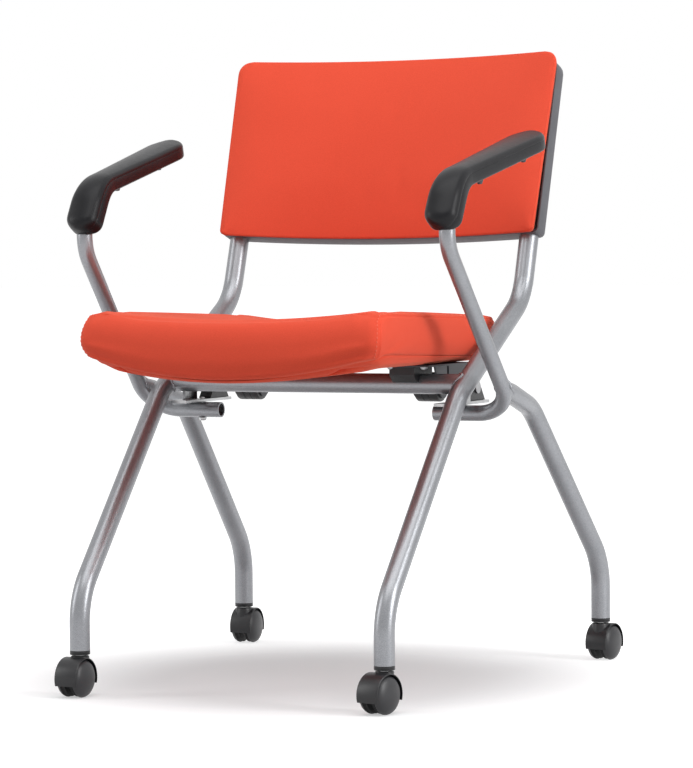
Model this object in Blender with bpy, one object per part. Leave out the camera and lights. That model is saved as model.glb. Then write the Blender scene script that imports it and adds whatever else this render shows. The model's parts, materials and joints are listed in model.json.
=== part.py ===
"""Flip-seat training chair on casters: tube frame, folding upholstered seat, padded back and arm pads.

Metres, +Z up, floor at Z = 0. The chair faces -Y and +X is the sitter's left.
"""
import math

import bmesh
import bpy
from mathutils import Matrix, Vector

# Clearances and facets
GAP = 0.0003
TUBE_SIDES = 12
BEND_STEPS = 4
ROUND_SIDES = 16
WHEEL_SIDES = 20
SCREW_SIDES = 8
ARC_STEPS = 8
HOOD_ARC_STEPS = 14
SMOOTH_ANGLE = math.radians(35.0)

# Stance of the four legs
FRONT_TRACK = 0.413
REAR_TRACK = 0.5335
WHEELBASE = 0.5704
LEG_END_HEIGHT = 0.057
LEG_DIAMETER = 0.0254
TUBE_WALL = 0.002
FRONT_FOOT = 0.0657
REAR_FOOT = 0.0746
FOOT_BEND_RADIUS = 0.085

# Main tubes: front leg, kink under the seat, back upright
KINK_WIDTH = 0.419
KINK_HEIGHT = 0.367
KINK_SETBACK = 0.2212
KINK_RADIUS = 0.06
UPRIGHT_WIDTH = 0.423
UPRIGHT_SETBACK = 0.2095
UPRIGHT_RISE = 0.1177
UPRIGHT_BEND_RADIUS = 0.075
UPRIGHT_LENGTH = 0.225
BACK_RECLINE = math.radians(18.5)

# Crossbar between the main tubes
CROSSBAR_REACH = 0.028
CROSSBAR_DIAMETER = 0.0254

# Arm tubes: post under the arm pad, slope, hook and inward stub
ARM_DIAMETER = 0.020
ARM_POST_WIDTH = 0.498
ARM_POST_FORWARD = 0.185
ARM_POST_RISE = 0.209
ARM_POST_RADIUS = 0.05
ARM_POST_LENGTH = 0.055
HOOK_WIDTH = 0.516
HOOK_RADIUS = 0.045
STUB_SETBACK = 0.037
STUB_DROP = 0.038
STUB_SPACING = 0.304

# Rear legs, butted on the arm tubes
REAR_BEND_WIDTH = 0.500
REAR_BEND_FORWARD = 0.2072
REAR_BEND_HEIGHT = 0.347
REAR_BEND_RADIUS = 0.07

# Arm pads with an embedded steel strip
PAD_CORNER_RISE = 0.0783
PAD_CORNER_SETBACK = 0.0168
PAD_LENGTH = 0.2425
PAD_TILT = math.radians(13.2)
PAD_TOE_OUT = 0.013
PAD_BEND_RADIUS = 0.0628
PAD_LOBE_WIDTH = 0.0426
PAD_WIDTH = 0.036
PAD_TAIL_WIDTH = 0.047
PAD_INWARD = 0.003
PAD_LOBE_THICKNESS = 0.0274
PAD_THICKNESS = 0.0206
PAD_LOBE_DROP = 0.0523
PAD_LOBE_FORWARD = 0.0141
PAD_LOBE_ROUNDING = ((0.0, 0.60), (0.1, 0.77), (0.3, 0.89), (0.6, 0.97))
PAD_TAIL_ROUNDING = ((0.5, 1.0), (0.95, 1.0), (0.98, 0.92), (0.995, 0.77), (1.0, 0.6))
STRIP_WIDTH = 0.016
STRIP_THICKNESS = 0.003
STRIP_LENGTH = 0.205
STRIP_CLIMB = 0.027
STRIP_TOE_SHARE = 0.7
STRIP_HEEL_SHARE = 0.9
ARM_SCREW_FIRST = 0.074
ARM_SCREW_PITCH = 0.130

# Seat hinge on each side
HINGE_SETBACK = 0.078
HINGE_DROP = 0.007
HINGE_PIN_DIAMETER = 0.010
HINGE_BAR_WIDTH = 0.0225
HINGE_BAR_THICKNESS = 0.004
HINGE_BAR_FRONT = 0.098
HINGE_BAR_REAR = 0.032
HINGE_TAB_LENGTH = 0.034
HINGE_TAB_HEIGHT = 0.026
HINGE_BLOCK_WIDTH = 0.017
HINGE_BLOCK_LENGTH = 0.054
HINGE_BLOCK_CROWN = 0.012
HINGE_CROWN_ANGLE = math.radians(20.0)
HINGE_HEAD_DIAMETER = 0.016
BARREL_OUTER = 0.144
BARREL_LENGTH = 0.032
BARREL_DIAMETER = 0.038
BRACKET_THICKNESS = 0.0025
BRACKET_WIDTH = 0.067
BRACKET_FRONT = 0.116
BRACKET_REAR = 0.030
BRACKET_LIP_DROP = 0.014
BRACKET_LIP_LENGTH = 0.060
CHEEK_LENGTH = 0.060
CHEEK_RADIUS = 0.015
SADDLE_WIDTH = 0.034
SADDLE_SPACING = 0.270
SADDLE_LENGTH = 0.058
SADDLE_OVER_BAR = 0.002

# Seat base and cushion
SEAT_UNDERSIDE = 0.4055
SEAT_FRONT_OVERHANG = 0.0225
SEAT_DEPTH = 0.434
SEAT_FRONT_WIDTH = 0.410
SEAT_REAR_WIDTH = 0.376
SEAT_FRONT_CORNER = 0.027
SEAT_REAR_CORNER = 0.012
SEAT_FRONT_BOW = 0.012
SEAT_BASE_THICKNESS = 0.0085
SEAT_BASE_RISE = 0.0045
SEAT_BASE_INSET = 0.006
SEAT_LIP_DROP = 0.0165
SEAT_SEAM_DROP = 0.0216
SEAT_LIP_LENGTH = 0.095
SEAT_CREST = 0.0585
SEAT_CREST_FALL = 0.012
SEAT_DISH = 0.014
SEAT_BULGE = 0.005
SEAT_BELT_SHARE = 0.55
SEAT_BASE_FLAT_SHARE = 0.9
SEAT_DISH_SHARE = 0.78
SEAT_FRONT_ROLL = (0.40, 0.12)
SEAT_REAR_ROLL = (0.12, 0.05)
SEAT_SIDE_ROLL = (0.10, 0.14)
SEAT_ROLL_POWER = 2.2

# Backrest
BACK_RISE = 0.0855
BACK_HEIGHT = 0.2425
BACK_SAG = 0.022
SHELL_WIDTH = 0.456
SHELL_WALL = 0.003
SHELL_FRONT = 0.0150
SHELL_EDGE_ROUND = 0.008
BACK_PANEL_THICKNESS = 0.0026
BACK_PANEL_INSET = 0.010
BACK_PAD_BOTTOM_WIDTH = 0.451
BACK_PAD_TOP_WIDTH = 0.462
BACK_PAD_OVERHANG = 0.005
BACK_PAD_TOP_OVERHANG = 0.009
BACK_PAD_SIDE = 0.014
BACK_PAD_CROWN = 0.008
BACK_PAD_CORNER = 0.018
BACK_PAD_CROWN_POWER = 4
BACK_SCREW_HEIGHT = 0.070
BACK_SCREW_RECESS = 0.0011

# Casters
WHEEL_DIAMETER = 0.047
WHEEL_WIDTH = 0.0134
WHEEL_DISC_SHARE = 0.8
WHEEL_SHOULDER = 0.00235
HUB_BORE_DEPTH = 0.0094
CASTER_TRAIL = 0.010
CASTER_WEB = 0.0075
HOOD_THICKNESS = 0.0022
HOOD_CLEARANCE = 0.0009
HOOD_SKIRT = 0.008
HOOD_SIDE_SHOW = 0.001
HOOD_BOSS_DIAMETER = 0.023
HOOD_BOSS_DEPTH = 0.008
AXLE_DIAMETER = 0.006
STEM_DIAMETER = 0.008
STEM_NECK_DIAMETER = 0.012
STEM_SEAT_DEPTH = 0.007
PLUG_FLANGE = 0.005
PLUG_DEPTH = 0.030
SWIVEL_TURNS = {
    "front_left": math.radians(-13.0),
    "front_right": math.radians(-3.0),
    "rear_left": math.radians(172.0),
    "rear_right": math.radians(183.0),
}

# Small fasteners
SCREW_DIAMETER = 0.004
SCREW_HEAD_DIAMETER = 0.0095
SCREW_HEAD_HEIGHT = 0.0035
SCREW_BITE = 0.007
BOLT_DIAMETER = 0.006
BOLT_HEAD_DIAMETER = 0.011
BOLT_HEAD_HEIGHT = 0.004

# Finishes: colour, roughness, metallic
FINISHES = {
    "silver_paint": ((0.46, 0.47, 0.49), 0.38, 0.6),
    "red_fabric": ((0.80, 0.075, 0.035), 0.85, 0.0),
    "black_plastic": ((0.035, 0.035, 0.042), 0.5, 0.0),
    "soft_black": ((0.045, 0.045, 0.05), 0.6, 0.0),
    "shell_grey": ((0.11, 0.11, 0.125), 0.55, 0.0),
    "zinc": ((0.72, 0.73, 0.74), 0.3, 1.0),
    "steel": ((0.55, 0.55, 0.56), 0.35, 1.0),
    "board": ((0.06, 0.055, 0.05), 0.8, 0.0),
}

SIDES = {"left": 1.0, "right": -1.0}
LEG_RADIUS = LEG_DIAMETER / 2
LEG_BORE = LEG_RADIUS - TUBE_WALL
ARM_RADIUS = ARM_DIAMETER / 2
UP = Vector((0.0, 0.0, 1.0))
BACK_UP = Vector((0.0, math.sin(BACK_RECLINE), math.cos(BACK_RECLINE)))
BACK_DEPTH = Vector((0.0, math.cos(BACK_RECLINE), -math.sin(BACK_RECLINE)))


# Building blocks

def clear_scene():
    for item in list(bpy.data.objects):
        bpy.data.objects.remove(item, do_unlink=True)


def add_object(name, bm, finish, smooth=True):
    """Turn a bmesh into a named object with its own material."""
    bmesh.ops.recalc_face_normals(bm, faces=bm.faces)
    if bm.calc_volume(signed=True) < 0:
        bmesh.ops.reverse_faces(bm, faces=bm.faces)
    mesh = bpy.data.meshes.new(name)
    bm.to_mesh(mesh)
    bm.free()
    if smooth:
        mesh.shade_smooth()
        mesh.set_sharp_from_angle(angle=SMOOTH_ANGLE)
    item = bpy.data.objects.new(name, mesh)
    bpy.context.scene.collection.objects.link(item)
    colour, roughness, metallic = FINISHES[finish]
    material = bpy.data.materials.new(name + "_finish")
    material.use_nodes = True
    shader = material.node_tree.nodes["Principled BSDF"]
    shader.inputs["Base Color"].default_value = (*colour, 1.0)
    shader.inputs["Roughness"].default_value = roughness
    shader.inputs["Metallic"].default_value = metallic
    mesh.materials.append(material)
    return item


def add_empty(name, place, turn=0.0):
    empty = bpy.data.objects.new(name, None)
    empty.location = place
    empty.rotation_euler = (0.0, 0.0, turn)
    bpy.context.scene.collection.objects.link(empty)
    return empty


def hang(item, empty):
    """Parent a piece modelled in the chair's frame to an empty on its joint's axis."""
    item.parent = empty
    item.matrix_parent_inverse = Matrix.Translation(-empty.location)


def add_cutter(name, bm):
    cutter = add_object(name, bm, "steel", smooth=False)
    cutter.hide_render = True
    cutter.display_type = "WIRE"
    return cutter


def combine(target, other, operation):
    change = target.modifiers.new(operation.lower() + "_" + other.name, "BOOLEAN")
    change.operation = operation
    change.solver = "EXACT"
    change.object = other
    other.hide_render = True
    other.display_type = "WIRE"


def loft_into(bm, rings, cap=True):
    """Skin closed rings that have the same number of points; cap the two ends."""
    rows = [[bm.verts.new(point) for point in ring] for ring in rings]
    count = len(rows[0])
    for row, after in zip(rows, rows[1:]):
        for i in range(count):
            j = (i + 1) % count
            bm.faces.new((row[i], row[j], after[j], after[i]))
    if cap:
        bm.faces.new(rows[0])
        bm.faces.new(rows[-1])
    return rows


def circle_ring(centre, side, lift, radius, sides):
    steps = [2 * math.pi * i / sides for i in range(sides)]
    return [centre + side * radius * math.cos(a) + lift * radius * math.sin(a) for a in steps]


def bent_path(corners, radii):
    """Centre line through corner points, rounded by an arc at each inner corner."""
    points = [corners[0]]
    for before, corner, after, radius in zip(corners, corners[1:], corners[2:], radii):
        arrive = (corner - before).normalized()
        leave = (after - corner).normalized()
        turn = arrive.angle(leave)
        inward = (leave - arrive * arrive.dot(leave)).normalized()
        start = corner - arrive * radius * math.tan(turn / 2)
        centre = start + inward * radius
        for step in range(BEND_STEPS + 1):
            a = turn * step / BEND_STEPS
            points.append(centre - inward * radius * math.cos(a) + arrive * radius * math.sin(a))
    points.append(corners[-1])
    return points


def path_frames(points):
    """Side and lift vectors along a path, carried from point to point without twist."""
    tangents = []
    for i in range(len(points)):
        before = points[max(i - 1, 0)]
        after = points[min(i + 1, len(points) - 1)]
        tangents.append((after - before).normalized())
    side = tangents[0].orthogonal().normalized()
    frames = []
    for tangent in tangents:
        side = (side - tangent * side.dot(tangent)).normalized()
        frames.append((side, tangent.cross(side)))
    return frames


def tube_rings(points, radius, sides):
    frames = path_frames(points)
    return [circle_ring(p, s, l, radius, sides) for p, (s, l) in zip(points, frames)]


def hollow_tube(points, radius, bore, sides):
    bm = bmesh.new()
    outer = loft_into(bm, tube_rings(points, radius, sides), cap=False)
    inner = loft_into(bm, tube_rings(points, bore, sides), cap=False)
    for end in (0, -1):
        for i in range(sides):
            j = (i + 1) % sides
            bm.faces.new((outer[end][i], outer[end][j], inner[end][j], inner[end][i]))
    return bm


def solid_tube(points, radius, sides):
    bm = bmesh.new()
    loft_into(bm, tube_rings(points, radius, sides))
    return bm


def rod_into(bm, start, end, radius, sides):
    loft_into(bm, tube_rings([start, end], radius, sides))


def box_into(bm, low, high):
    corners = [Vector((x, y, low[2])) for x, y in
               ((low[0], low[1]), (high[0], low[1]), (high[0], high[1]), (low[0], high[1]))]
    lift = UP * (high[2] - low[2])
    loft_into(bm, [corners, [c + lift for c in corners]])


def box(low, high):
    bm = bmesh.new()
    box_into(bm, low, high)
    return bm


def side_prism(outline, x_start, x_end):
    """Extrude a closed outline of (Y, Z) points along X."""
    bm = bmesh.new()
    loft_into(bm, [[Vector((x, y, z)) for y, z in outline] for x in (x_start, x_end)])
    return bm


def arc(centre, radius, first, last, steps):
    angles = [first + (last - first) * i / steps for i in range(steps + 1)]
    return [(centre[0] + radius * math.cos(a), centre[1] + radius * math.sin(a)) for a in angles]


def turned_into(bm, profile, sides, place, axis):
    """Turn a profile of (radius, height) points about an axis; a radius of zero is a pole."""
    upright = abs(axis.dot(UP)) > 0.5
    side = Vector((1.0, 0.0, 0.0)) if upright else axis.cross(UP)
    side = (side - axis * side.dot(axis)).normalized()
    lift = axis.cross(side)
    rows = []
    for radius, height in profile:
        centre = place + axis * height
        if radius == 0.0:
            rows.append([bm.verts.new(centre)])
        else:
            rows.append([bm.verts.new(p) for p in circle_ring(centre, side, lift, radius, sides)])
    pairs = list(zip(rows, rows[1:]))
    if profile[0][0] > 0.0:
        pairs.append((rows[-1], rows[0]))
    for row, after in pairs:
        for i in range(sides):
            j = (i + 1) % sides
            loop = [row[i % len(row)], row[j % len(row)], after[j % len(after)], after[i % len(after)]]
            corners = list(dict.fromkeys(loop))
            bm.faces.new(corners)


def turned(profile, sides, place, axis):
    bm = bmesh.new()
    turned_into(bm, profile, sides, place, axis)
    return bm


def padded_block(columns, rows, top, bottom, belt=None):
    """Closed solid between two grids of points, with an optional belt of points round its sides."""
    bm = bmesh.new()
    across = range(len(columns))
    along = range(len(rows))
    upper = [[bm.verts.new(top(u, v)) for v in rows] for u in columns]
    lower = [[bm.verts.new(bottom(u, v)) for v in rows] for u in columns]
    for i in across[:-1]:
        for j in along[:-1]:
            bm.faces.new((upper[i][j], upper[i + 1][j], upper[i + 1][j + 1], upper[i][j + 1]))
            bm.faces.new((lower[i][j], lower[i][j + 1], lower[i + 1][j + 1], lower[i + 1][j]))
    edge = [(i, 0) for i in across] + [(across[-1], j) for j in along[1:]]
    edge += [(i, along[-1]) for i in reversed(across[:-1])] + [(0, j) for j in reversed(along[1:-1])]
    loops = [[upper[i][j] for i, j in edge], [lower[i][j] for i, j in edge]]
    if belt:
        loops.insert(1, [bm.verts.new(belt(columns[i], rows[j])) for i, j in edge])
    for loop, after in zip(loops, loops[1:]):
        for k in range(len(edge)):
            n = (k + 1) % len(edge)
            bm.faces.new((loop[k], loop[n], after[n], after[k]))
    return bm


def screw_profile(head_radius, head_height, shank_radius, shank_length):
    """Pan head below height zero, shank above it."""
    return [(0.0, -head_height), (head_radius * 0.7, -head_height), (head_radius, -head_height * 0.45),
            (head_radius, 0.0), (shank_radius, 0.0), (shank_radius, shank_length), (0.0, shank_length)]


def add_screw(name, place, axis, shank_length, finish, bolt=False):
    """A screw whose head seats at the place given and whose shank runs along the axis."""
    shank = BOLT_DIAMETER if bolt else SCREW_DIAMETER
    head = BOLT_HEAD_DIAMETER if bolt else SCREW_HEAD_DIAMETER
    height = BOLT_HEAD_HEIGHT if bolt else SCREW_HEAD_HEIGHT
    profile = screw_profile(head / 2, height, shank / 2, shank_length)
    return add_object(name, turned(profile, SCREW_SIDES, place, axis), finish)


def add_screw_hole(name, place, axis, length, shank=SCREW_DIAMETER, pocket=0.0):
    """Cutter for the clearance hole of a screw, with a wider pocket for a sunk head."""
    narrow = shank / 2 + GAP
    wide = SCREW_HEAD_DIAMETER / 2 + GAP if pocket else narrow
    profile = [(0.0, -pocket - GAP), (wide, -pocket - GAP), (wide, GAP), (narrow, 2 * GAP),
               (narrow, length + GAP), (0.0, length + GAP)]
    return add_cutter(name, turned(profile, SCREW_SIDES, place, axis))


# Places shared by the pieces

def mirrored(point, side):
    return Vector((point[0] * side, point[1], point[2]))


FRONT_Y = -WHEELBASE / 2
REAR_Y = WHEELBASE / 2
KINK = Vector((KINK_WIDTH / 2, FRONT_Y + KINK_SETBACK, KINK_HEIGHT))
UPRIGHT_FOOT = Vector((UPRIGHT_WIDTH / 2, KINK.y + UPRIGHT_SETBACK, KINK.z + UPRIGHT_RISE))
CROSSBAR = KINK + (UPRIGHT_FOOT - KINK).normalized() * CROSSBAR_REACH
STUB_Y = CROSSBAR.y + STUB_SETBACK
STUB_Z = CROSSBAR.z - STUB_DROP
HINGE_Y = CROSSBAR.y + HINGE_SETBACK
HINGE_Z = CROSSBAR.z - HINGE_DROP
ARM_POST = Vector((ARM_POST_WIDTH / 2, STUB_Y - ARM_POST_FORWARD, STUB_Z + ARM_POST_RISE))
HOOK = Vector((HOOK_WIDTH / 2, STUB_Y, STUB_Z))
PAD_CORNER = ARM_POST + Vector((0.0, PAD_CORNER_SETBACK, PAD_CORNER_RISE))
PAD_RUN = Vector((PAD_TOE_OUT / PAD_LENGTH, math.cos(PAD_TILT), math.sin(PAD_TILT))).normalized()
PAD_LIFT = Vector((0.0, -math.sin(PAD_TILT), math.cos(PAD_TILT)))
BACK_ORIGIN = Vector((0.0, UPRIGHT_FOOT.y, UPRIGHT_FOOT.z)) + BACK_UP * BACK_RISE
SEAT_FRONT = FRONT_Y - SEAT_FRONT_OVERHANG
SEAT_REAR = SEAT_FRONT + SEAT_DEPTH


def main_path(side):
    foot = Vector((FRONT_TRACK / 2, FRONT_Y, LEG_END_HEIGHT))
    corners = [foot, foot + UP * FRONT_FOOT, KINK, UPRIGHT_FOOT, UPRIGHT_FOOT + BACK_UP * UPRIGHT_LENGTH]
    return bent_path([mirrored(c, side) for c in corners],
                     [FOOT_BEND_RADIUS, KINK_RADIUS, UPRIGHT_BEND_RADIUS])


def arm_path(side):
    stub = Vector((STUB_SPACING / 2, STUB_Y, STUB_Z))
    corners = [ARM_POST + UP * ARM_POST_LENGTH, ARM_POST, HOOK, stub]
    return bent_path([mirrored(c, side) for c in corners], [ARM_POST_RADIUS, HOOK_RADIUS])


def rear_path(side):
    foot = Vector((REAR_TRACK / 2, REAR_Y, LEG_END_HEIGHT))
    slope = (ARM_POST - HOOK).normalized()
    meeting = HOOK + slope * HOOK_RADIUS
    bend = Vector((REAR_BEND_WIDTH / 2, REAR_Y - REAR_BEND_FORWARD, REAR_BEND_HEIGHT))
    corners = [foot, foot + UP * REAR_FOOT, bend, meeting]
    return bent_path([mirrored(c, side) for c in corners], [FOOT_BEND_RADIUS, REAR_BEND_RADIUS])


# Tube frame

def build_frame(side_name, side):
    """Main tube, arm tube and rear leg of one side; the rear leg is coped to the arm tube."""
    main = add_object("main_tube_" + side_name,
                      hollow_tube(main_path(side), LEG_RADIUS, LEG_BORE, TUBE_SIDES), "silver_paint")
    arm = add_object("arm_tube_" + side_name,
                     hollow_tube(arm_path(side), ARM_RADIUS, ARM_RADIUS - TUBE_WALL, TUBE_SIDES),
                     "silver_paint")
    rear = add_object("rear_leg_" + side_name,
                      hollow_tube(rear_path(side), LEG_RADIUS, LEG_BORE, TUBE_SIDES), "silver_paint")
    coping = solid_tube(arm_path(side), ARM_RADIUS + GAP, TUBE_SIDES)
    combine(rear, add_cutter("rear_leg_coping_" + side_name, coping), "DIFFERENCE")
    return main, arm


def build_crossbar():
    reach = Vector((CROSSBAR.x, 0.0, 0.0))
    centre = Vector((0.0, CROSSBAR.y, CROSSBAR.z))
    bar = add_object("crossbar", hollow_tube([centre - reach, centre + reach], CROSSBAR_DIAMETER / 2,
                                             CROSSBAR_DIAMETER / 2 - TUBE_WALL, TUBE_SIDES), "silver_paint")
    for side_name, side in SIDES.items():
        coping = solid_tube(main_path(side), LEG_RADIUS + GAP, TUBE_SIDES)
        combine(bar, add_cutter("crossbar_coping_" + side_name, coping), "DIFFERENCE")


# Arm pads

def pad_section(half_width, half_thickness):
    """Crowned top, upright sides and flat underside, as (side, lift) offsets."""
    right = [(0.75, -1.0), (1.0, -0.6), (1.0, 0.35), (0.84, 0.82), (0.4, 1.0)]
    shape = right + [(-s, l) for s, l in reversed(right)]
    return [(s * half_width, l * half_thickness) for s, l in shape]


def pad_stations(side):
    """Path points of an arm pad with their half width and half thickness, lobe end first."""
    low = ARM_POST + Vector((0.0, -PAD_LOBE_FORWARD, PAD_CORNER_RISE - PAD_LOBE_DROP))
    tail = PAD_CORNER + PAD_RUN * PAD_LENGTH
    points = bent_path([low, PAD_CORNER, tail], [PAD_BEND_RADIUS])
    lobe = (PAD_LOBE_WIDTH / 2, PAD_LOBE_THICKNESS / 2)
    slim = (PAD_WIDTH / 2, PAD_THICKNESS / 2)
    rise = points[1] - points[0]
    stations = [(points[0] + rise * share, lobe[0] * size, lobe[1] * size) for share, size in PAD_LOBE_ROUNDING]
    bends = points[1:-1]
    for i, point in enumerate(bends):
        share = i / (len(bends) - 1)
        stations.append((point, lobe[0] + (slim[0] - lobe[0]) * share,
                         lobe[1] + (slim[1] - lobe[1]) * share))
    run = points[-1] - points[-2]
    widening = (PAD_TAIL_WIDTH - PAD_WIDTH) / 2
    stations += [(points[-2] + run * share, (slim[0] + widening * share) * size, slim[1] * size)
                 for share, size in PAD_TAIL_ROUNDING]
    inward = Vector((-PAD_INWARD, 0.0, 0.0))
    return [(mirrored(p + inward, side), w, t) for p, w, t in stations]


def build_arm_pad(side_name, side):
    """Moulded pad with a bore for the arm post and a groove for the strip."""
    stations = pad_stations(side)
    points = [point for point, _, _ in stations]
    rings = []
    for i, (point, half_width, half_thickness) in enumerate(stations):
        along = (points[min(i + 1, len(points) - 1)] - points[max(i - 1, 0)]).normalized()
        lift = Vector((1.0, 0.0, 0.0)).cross(along).normalized()
        across = along.cross(lift)
        rings.append([point + across * s + lift * l for s, l in pad_section(half_width, half_thickness)])
    bm = bmesh.new()
    loft_into(bm, rings)
    pad = add_object("arm_pad_" + side_name, bm, "soft_black")
    socket = [ARM_POST - UP * ARM_POST_RADIUS, ARM_POST + UP * (ARM_POST_LENGTH + GAP)]
    bore = solid_tube([mirrored(p, side) for p in socket], ARM_RADIUS + GAP, TUBE_SIDES)
    combine(pad, add_cutter("arm_pad_bore_" + side_name, bore), "DIFFERENCE")
    combine(pad, add_cutter("arm_pad_groove_" + side_name, strip_mesh(side, GAP)), "DIFFERENCE")
    return pad


def strip_line():
    """Underside line of the steel strip: flat on the post's end, then up the pad's underside."""
    post_end = ARM_POST + UP * (ARM_POST_LENGTH + GAP)
    under = PAD_CORNER - PAD_LIFT * (PAD_THICKNESS / 2)
    start = post_end - Vector((0.0, ARM_RADIUS * STRIP_TOE_SHARE, 0.0))
    knee = post_end + Vector((0.0, ARM_RADIUS * STRIP_HEEL_SHARE, 0.0))
    return [start, knee, under + PAD_RUN * STRIP_CLIMB, under + PAD_RUN * STRIP_LENGTH]


def strip_mesh(side, extra):
    """Bent flat strip; extra grows it all round for the groove that holds it."""
    line = strip_line()
    half = STRIP_WIDTH / 2 + extra
    rings = []
    for i, point in enumerate(line):
        along = (line[min(i + 1, len(line) - 1)] - line[max(i - 1, 0)]).normalized()
        lift = Vector((1.0, 0.0, 0.0)).cross(along).normalized()
        ends = along * extra * ((i == len(line) - 1) - (i == 0))
        low = point + ends - lift * extra
        high = point + ends + lift * (STRIP_THICKNESS + extra)
        across = Vector((half, 0.0, 0.0))
        rings.append([mirrored(c, side) for c in (low - across, low + across, high + across, high - across)])
    bm = bmesh.new()
    loft_into(bm, rings)
    return bm


def build_arm_screws(side_name, side, strip, pad):
    """Two screws up through the strip into the pad."""
    under = PAD_CORNER - PAD_LIFT * (PAD_THICKNESS / 2 + GAP)
    length = STRIP_THICKNESS + SCREW_BITE
    for number, end in enumerate(("front", "rear")):
        spot = under + PAD_RUN * (ARM_SCREW_FIRST + ARM_SCREW_PITCH * number)
        place = mirrored(spot, side)
        name = "arm_screw_%s_%s" % (side_name, end)
        add_screw(name, place, PAD_LIFT, length, "black_plastic")
        hole = add_screw_hole(name + "_hole", place, PAD_LIFT, length)
        combine(strip, hole, "DIFFERENCE")
        combine(pad, hole, "DIFFERENCE")


# Seat hinge, frame side

def hinge_bar_top():
    return STUB_Z + ARM_RADIUS + GAP + HINGE_BAR_THICKNESS


def hinge_bar_outer():
    return KINK.x - LEG_RADIUS - GAP


def build_hinge(side_name, side):
    outer = hinge_bar_outer()
    top = hinge_bar_top()
    strip = box((outer - HINGE_BAR_WIDTH, HINGE_Y - HINGE_BAR_FRONT, top - HINGE_BAR_THICKNESS),
                (outer, HINGE_Y + HINGE_BAR_REAR, top))
    tab_start = CROSSBAR.y + CROSSBAR_DIAMETER / 2 + GAP
    tab = box((outer - HINGE_BAR_THICKNESS, tab_start, top - HINGE_BAR_THICKNESS / 2),
              (outer, tab_start + HINGE_TAB_LENGTH, top + HINGE_TAB_HEIGHT))
    bmesh.ops.scale(strip, vec=(side, 1.0, 1.0), verts=strip.verts)
    bmesh.ops.scale(tab, vec=(side, 1.0, 1.0), verts=tab.verts)
    bar = add_object("hinge_bar_" + side_name, strip, "zinc", smooth=False)
    combine(bar, add_cutter("hinge_tab_" + side_name, tab), "UNION")

    foot = top + GAP
    half = HINGE_BLOCK_LENGTH / 2
    crown = arc((HINGE_Y, HINGE_Z), HINGE_BLOCK_CROWN, HINGE_CROWN_ANGLE,
                math.pi - HINGE_CROWN_ANGLE, ARC_STEPS)
    outline = [(HINGE_Y - half, foot), (HINGE_Y + half, foot)] + crown
    inner = outer - HINGE_BAR_THICKNESS - HINGE_BLOCK_WIDTH
    block = add_object("hinge_block_" + side_name,
                       side_prism(outline, side * inner, side * (inner + HINGE_BLOCK_WIDTH)), "black_plastic")
    pin_inner = BARREL_OUTER - BARREL_LENGTH - BRACKET_THICKNESS - 2 * GAP
    head_start = inner + HINGE_BLOCK_WIDTH + GAP
    axis = Vector((side, 0.0, 0.0))
    centre = Vector((0.0, HINGE_Y, HINGE_Z))
    radius = HINGE_PIN_DIAMETER / 2
    head = HINGE_HEAD_DIAMETER / 2
    profile = [(0.0, pin_inner), (radius, pin_inner), (radius, head_start), (head, head_start),
               (head, head_start + HINGE_BAR_THICKNESS / 2), (0.0, head_start + HINGE_BAR_THICKNESS / 2)]
    add_object("hinge_pin_" + side_name, turned(profile, ROUND_SIDES, centre, axis), "steel")
    bore = solid_tube([centre + axis * (inner - GAP), centre + axis * (head_start + GAP)],
                      radius + GAP, ROUND_SIDES)
    combine(block, add_cutter("hinge_block_bore_" + side_name, bore), "DIFFERENCE")
    return bar


def build_stub_bolt(side_name, side, bar, arm):
    """Bolt up through the arm tube's stub that holds the hinge bar on it."""
    inset = hinge_bar_outer() - HINGE_BAR_WIDTH + BOLT_HEAD_DIAMETER / 2
    place = Vector((inset * side, STUB_Y, STUB_Z - ARM_RADIUS - GAP))
    length = ARM_DIAMETER + HINGE_BAR_THICKNESS + BOLT_DIAMETER / 2
    add_screw("stub_bolt_" + side_name, place, UP, length, "zinc", bolt=True)
    hole = add_screw_hole("stub_bolt_hole_" + side_name, place, UP, length, BOLT_DIAMETER)
    combine(bar, hole, "DIFFERENCE")
    combine(arm, hole, "DIFFERENCE")


# Seat

def seat_half_width(t):
    """Half width of the cushion at a share t of its depth, with rounded plan corners."""
    half = (SEAT_FRONT_WIDTH + (SEAT_REAR_WIDTH - SEAT_FRONT_WIDTH) * t) / 2
    for distance, radius in ((t * SEAT_DEPTH, SEAT_FRONT_CORNER), ((1 - t) * SEAT_DEPTH, SEAT_REAR_CORNER)):
        if distance < radius:
            half -= radius - math.sqrt(radius ** 2 - (radius - distance) ** 2)
    return half


def seat_spot(f, t, height, inset=0.0):
    """Point of the seat at width share f and depth share t."""
    bow = SEAT_FRONT_BOW * (1 - t) * f * f
    shrink = 1 - 2 * inset / SEAT_DEPTH
    y = SEAT_FRONT + inset + SEAT_DEPTH * shrink * t + bow
    return Vector((f * (seat_half_width(t) - inset), y, height))


def lip_dip(f, t):
    """How far the front lip hangs, as a share: full at the front centre, none at the corners."""
    reach = max(0.0, 1 - t * SEAT_DEPTH / SEAT_LIP_LENGTH)
    return (1 - f * f) * reach * reach * (3 - 2 * reach)


def seat_seam(f, t):
    """Height of the seam between base and cushion."""
    flat = SEAT_UNDERSIDE + SEAT_BASE_THICKNESS + SEAT_BASE_RISE * f * f
    return flat - SEAT_SEAM_DROP * lip_dip(f, t)


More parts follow.
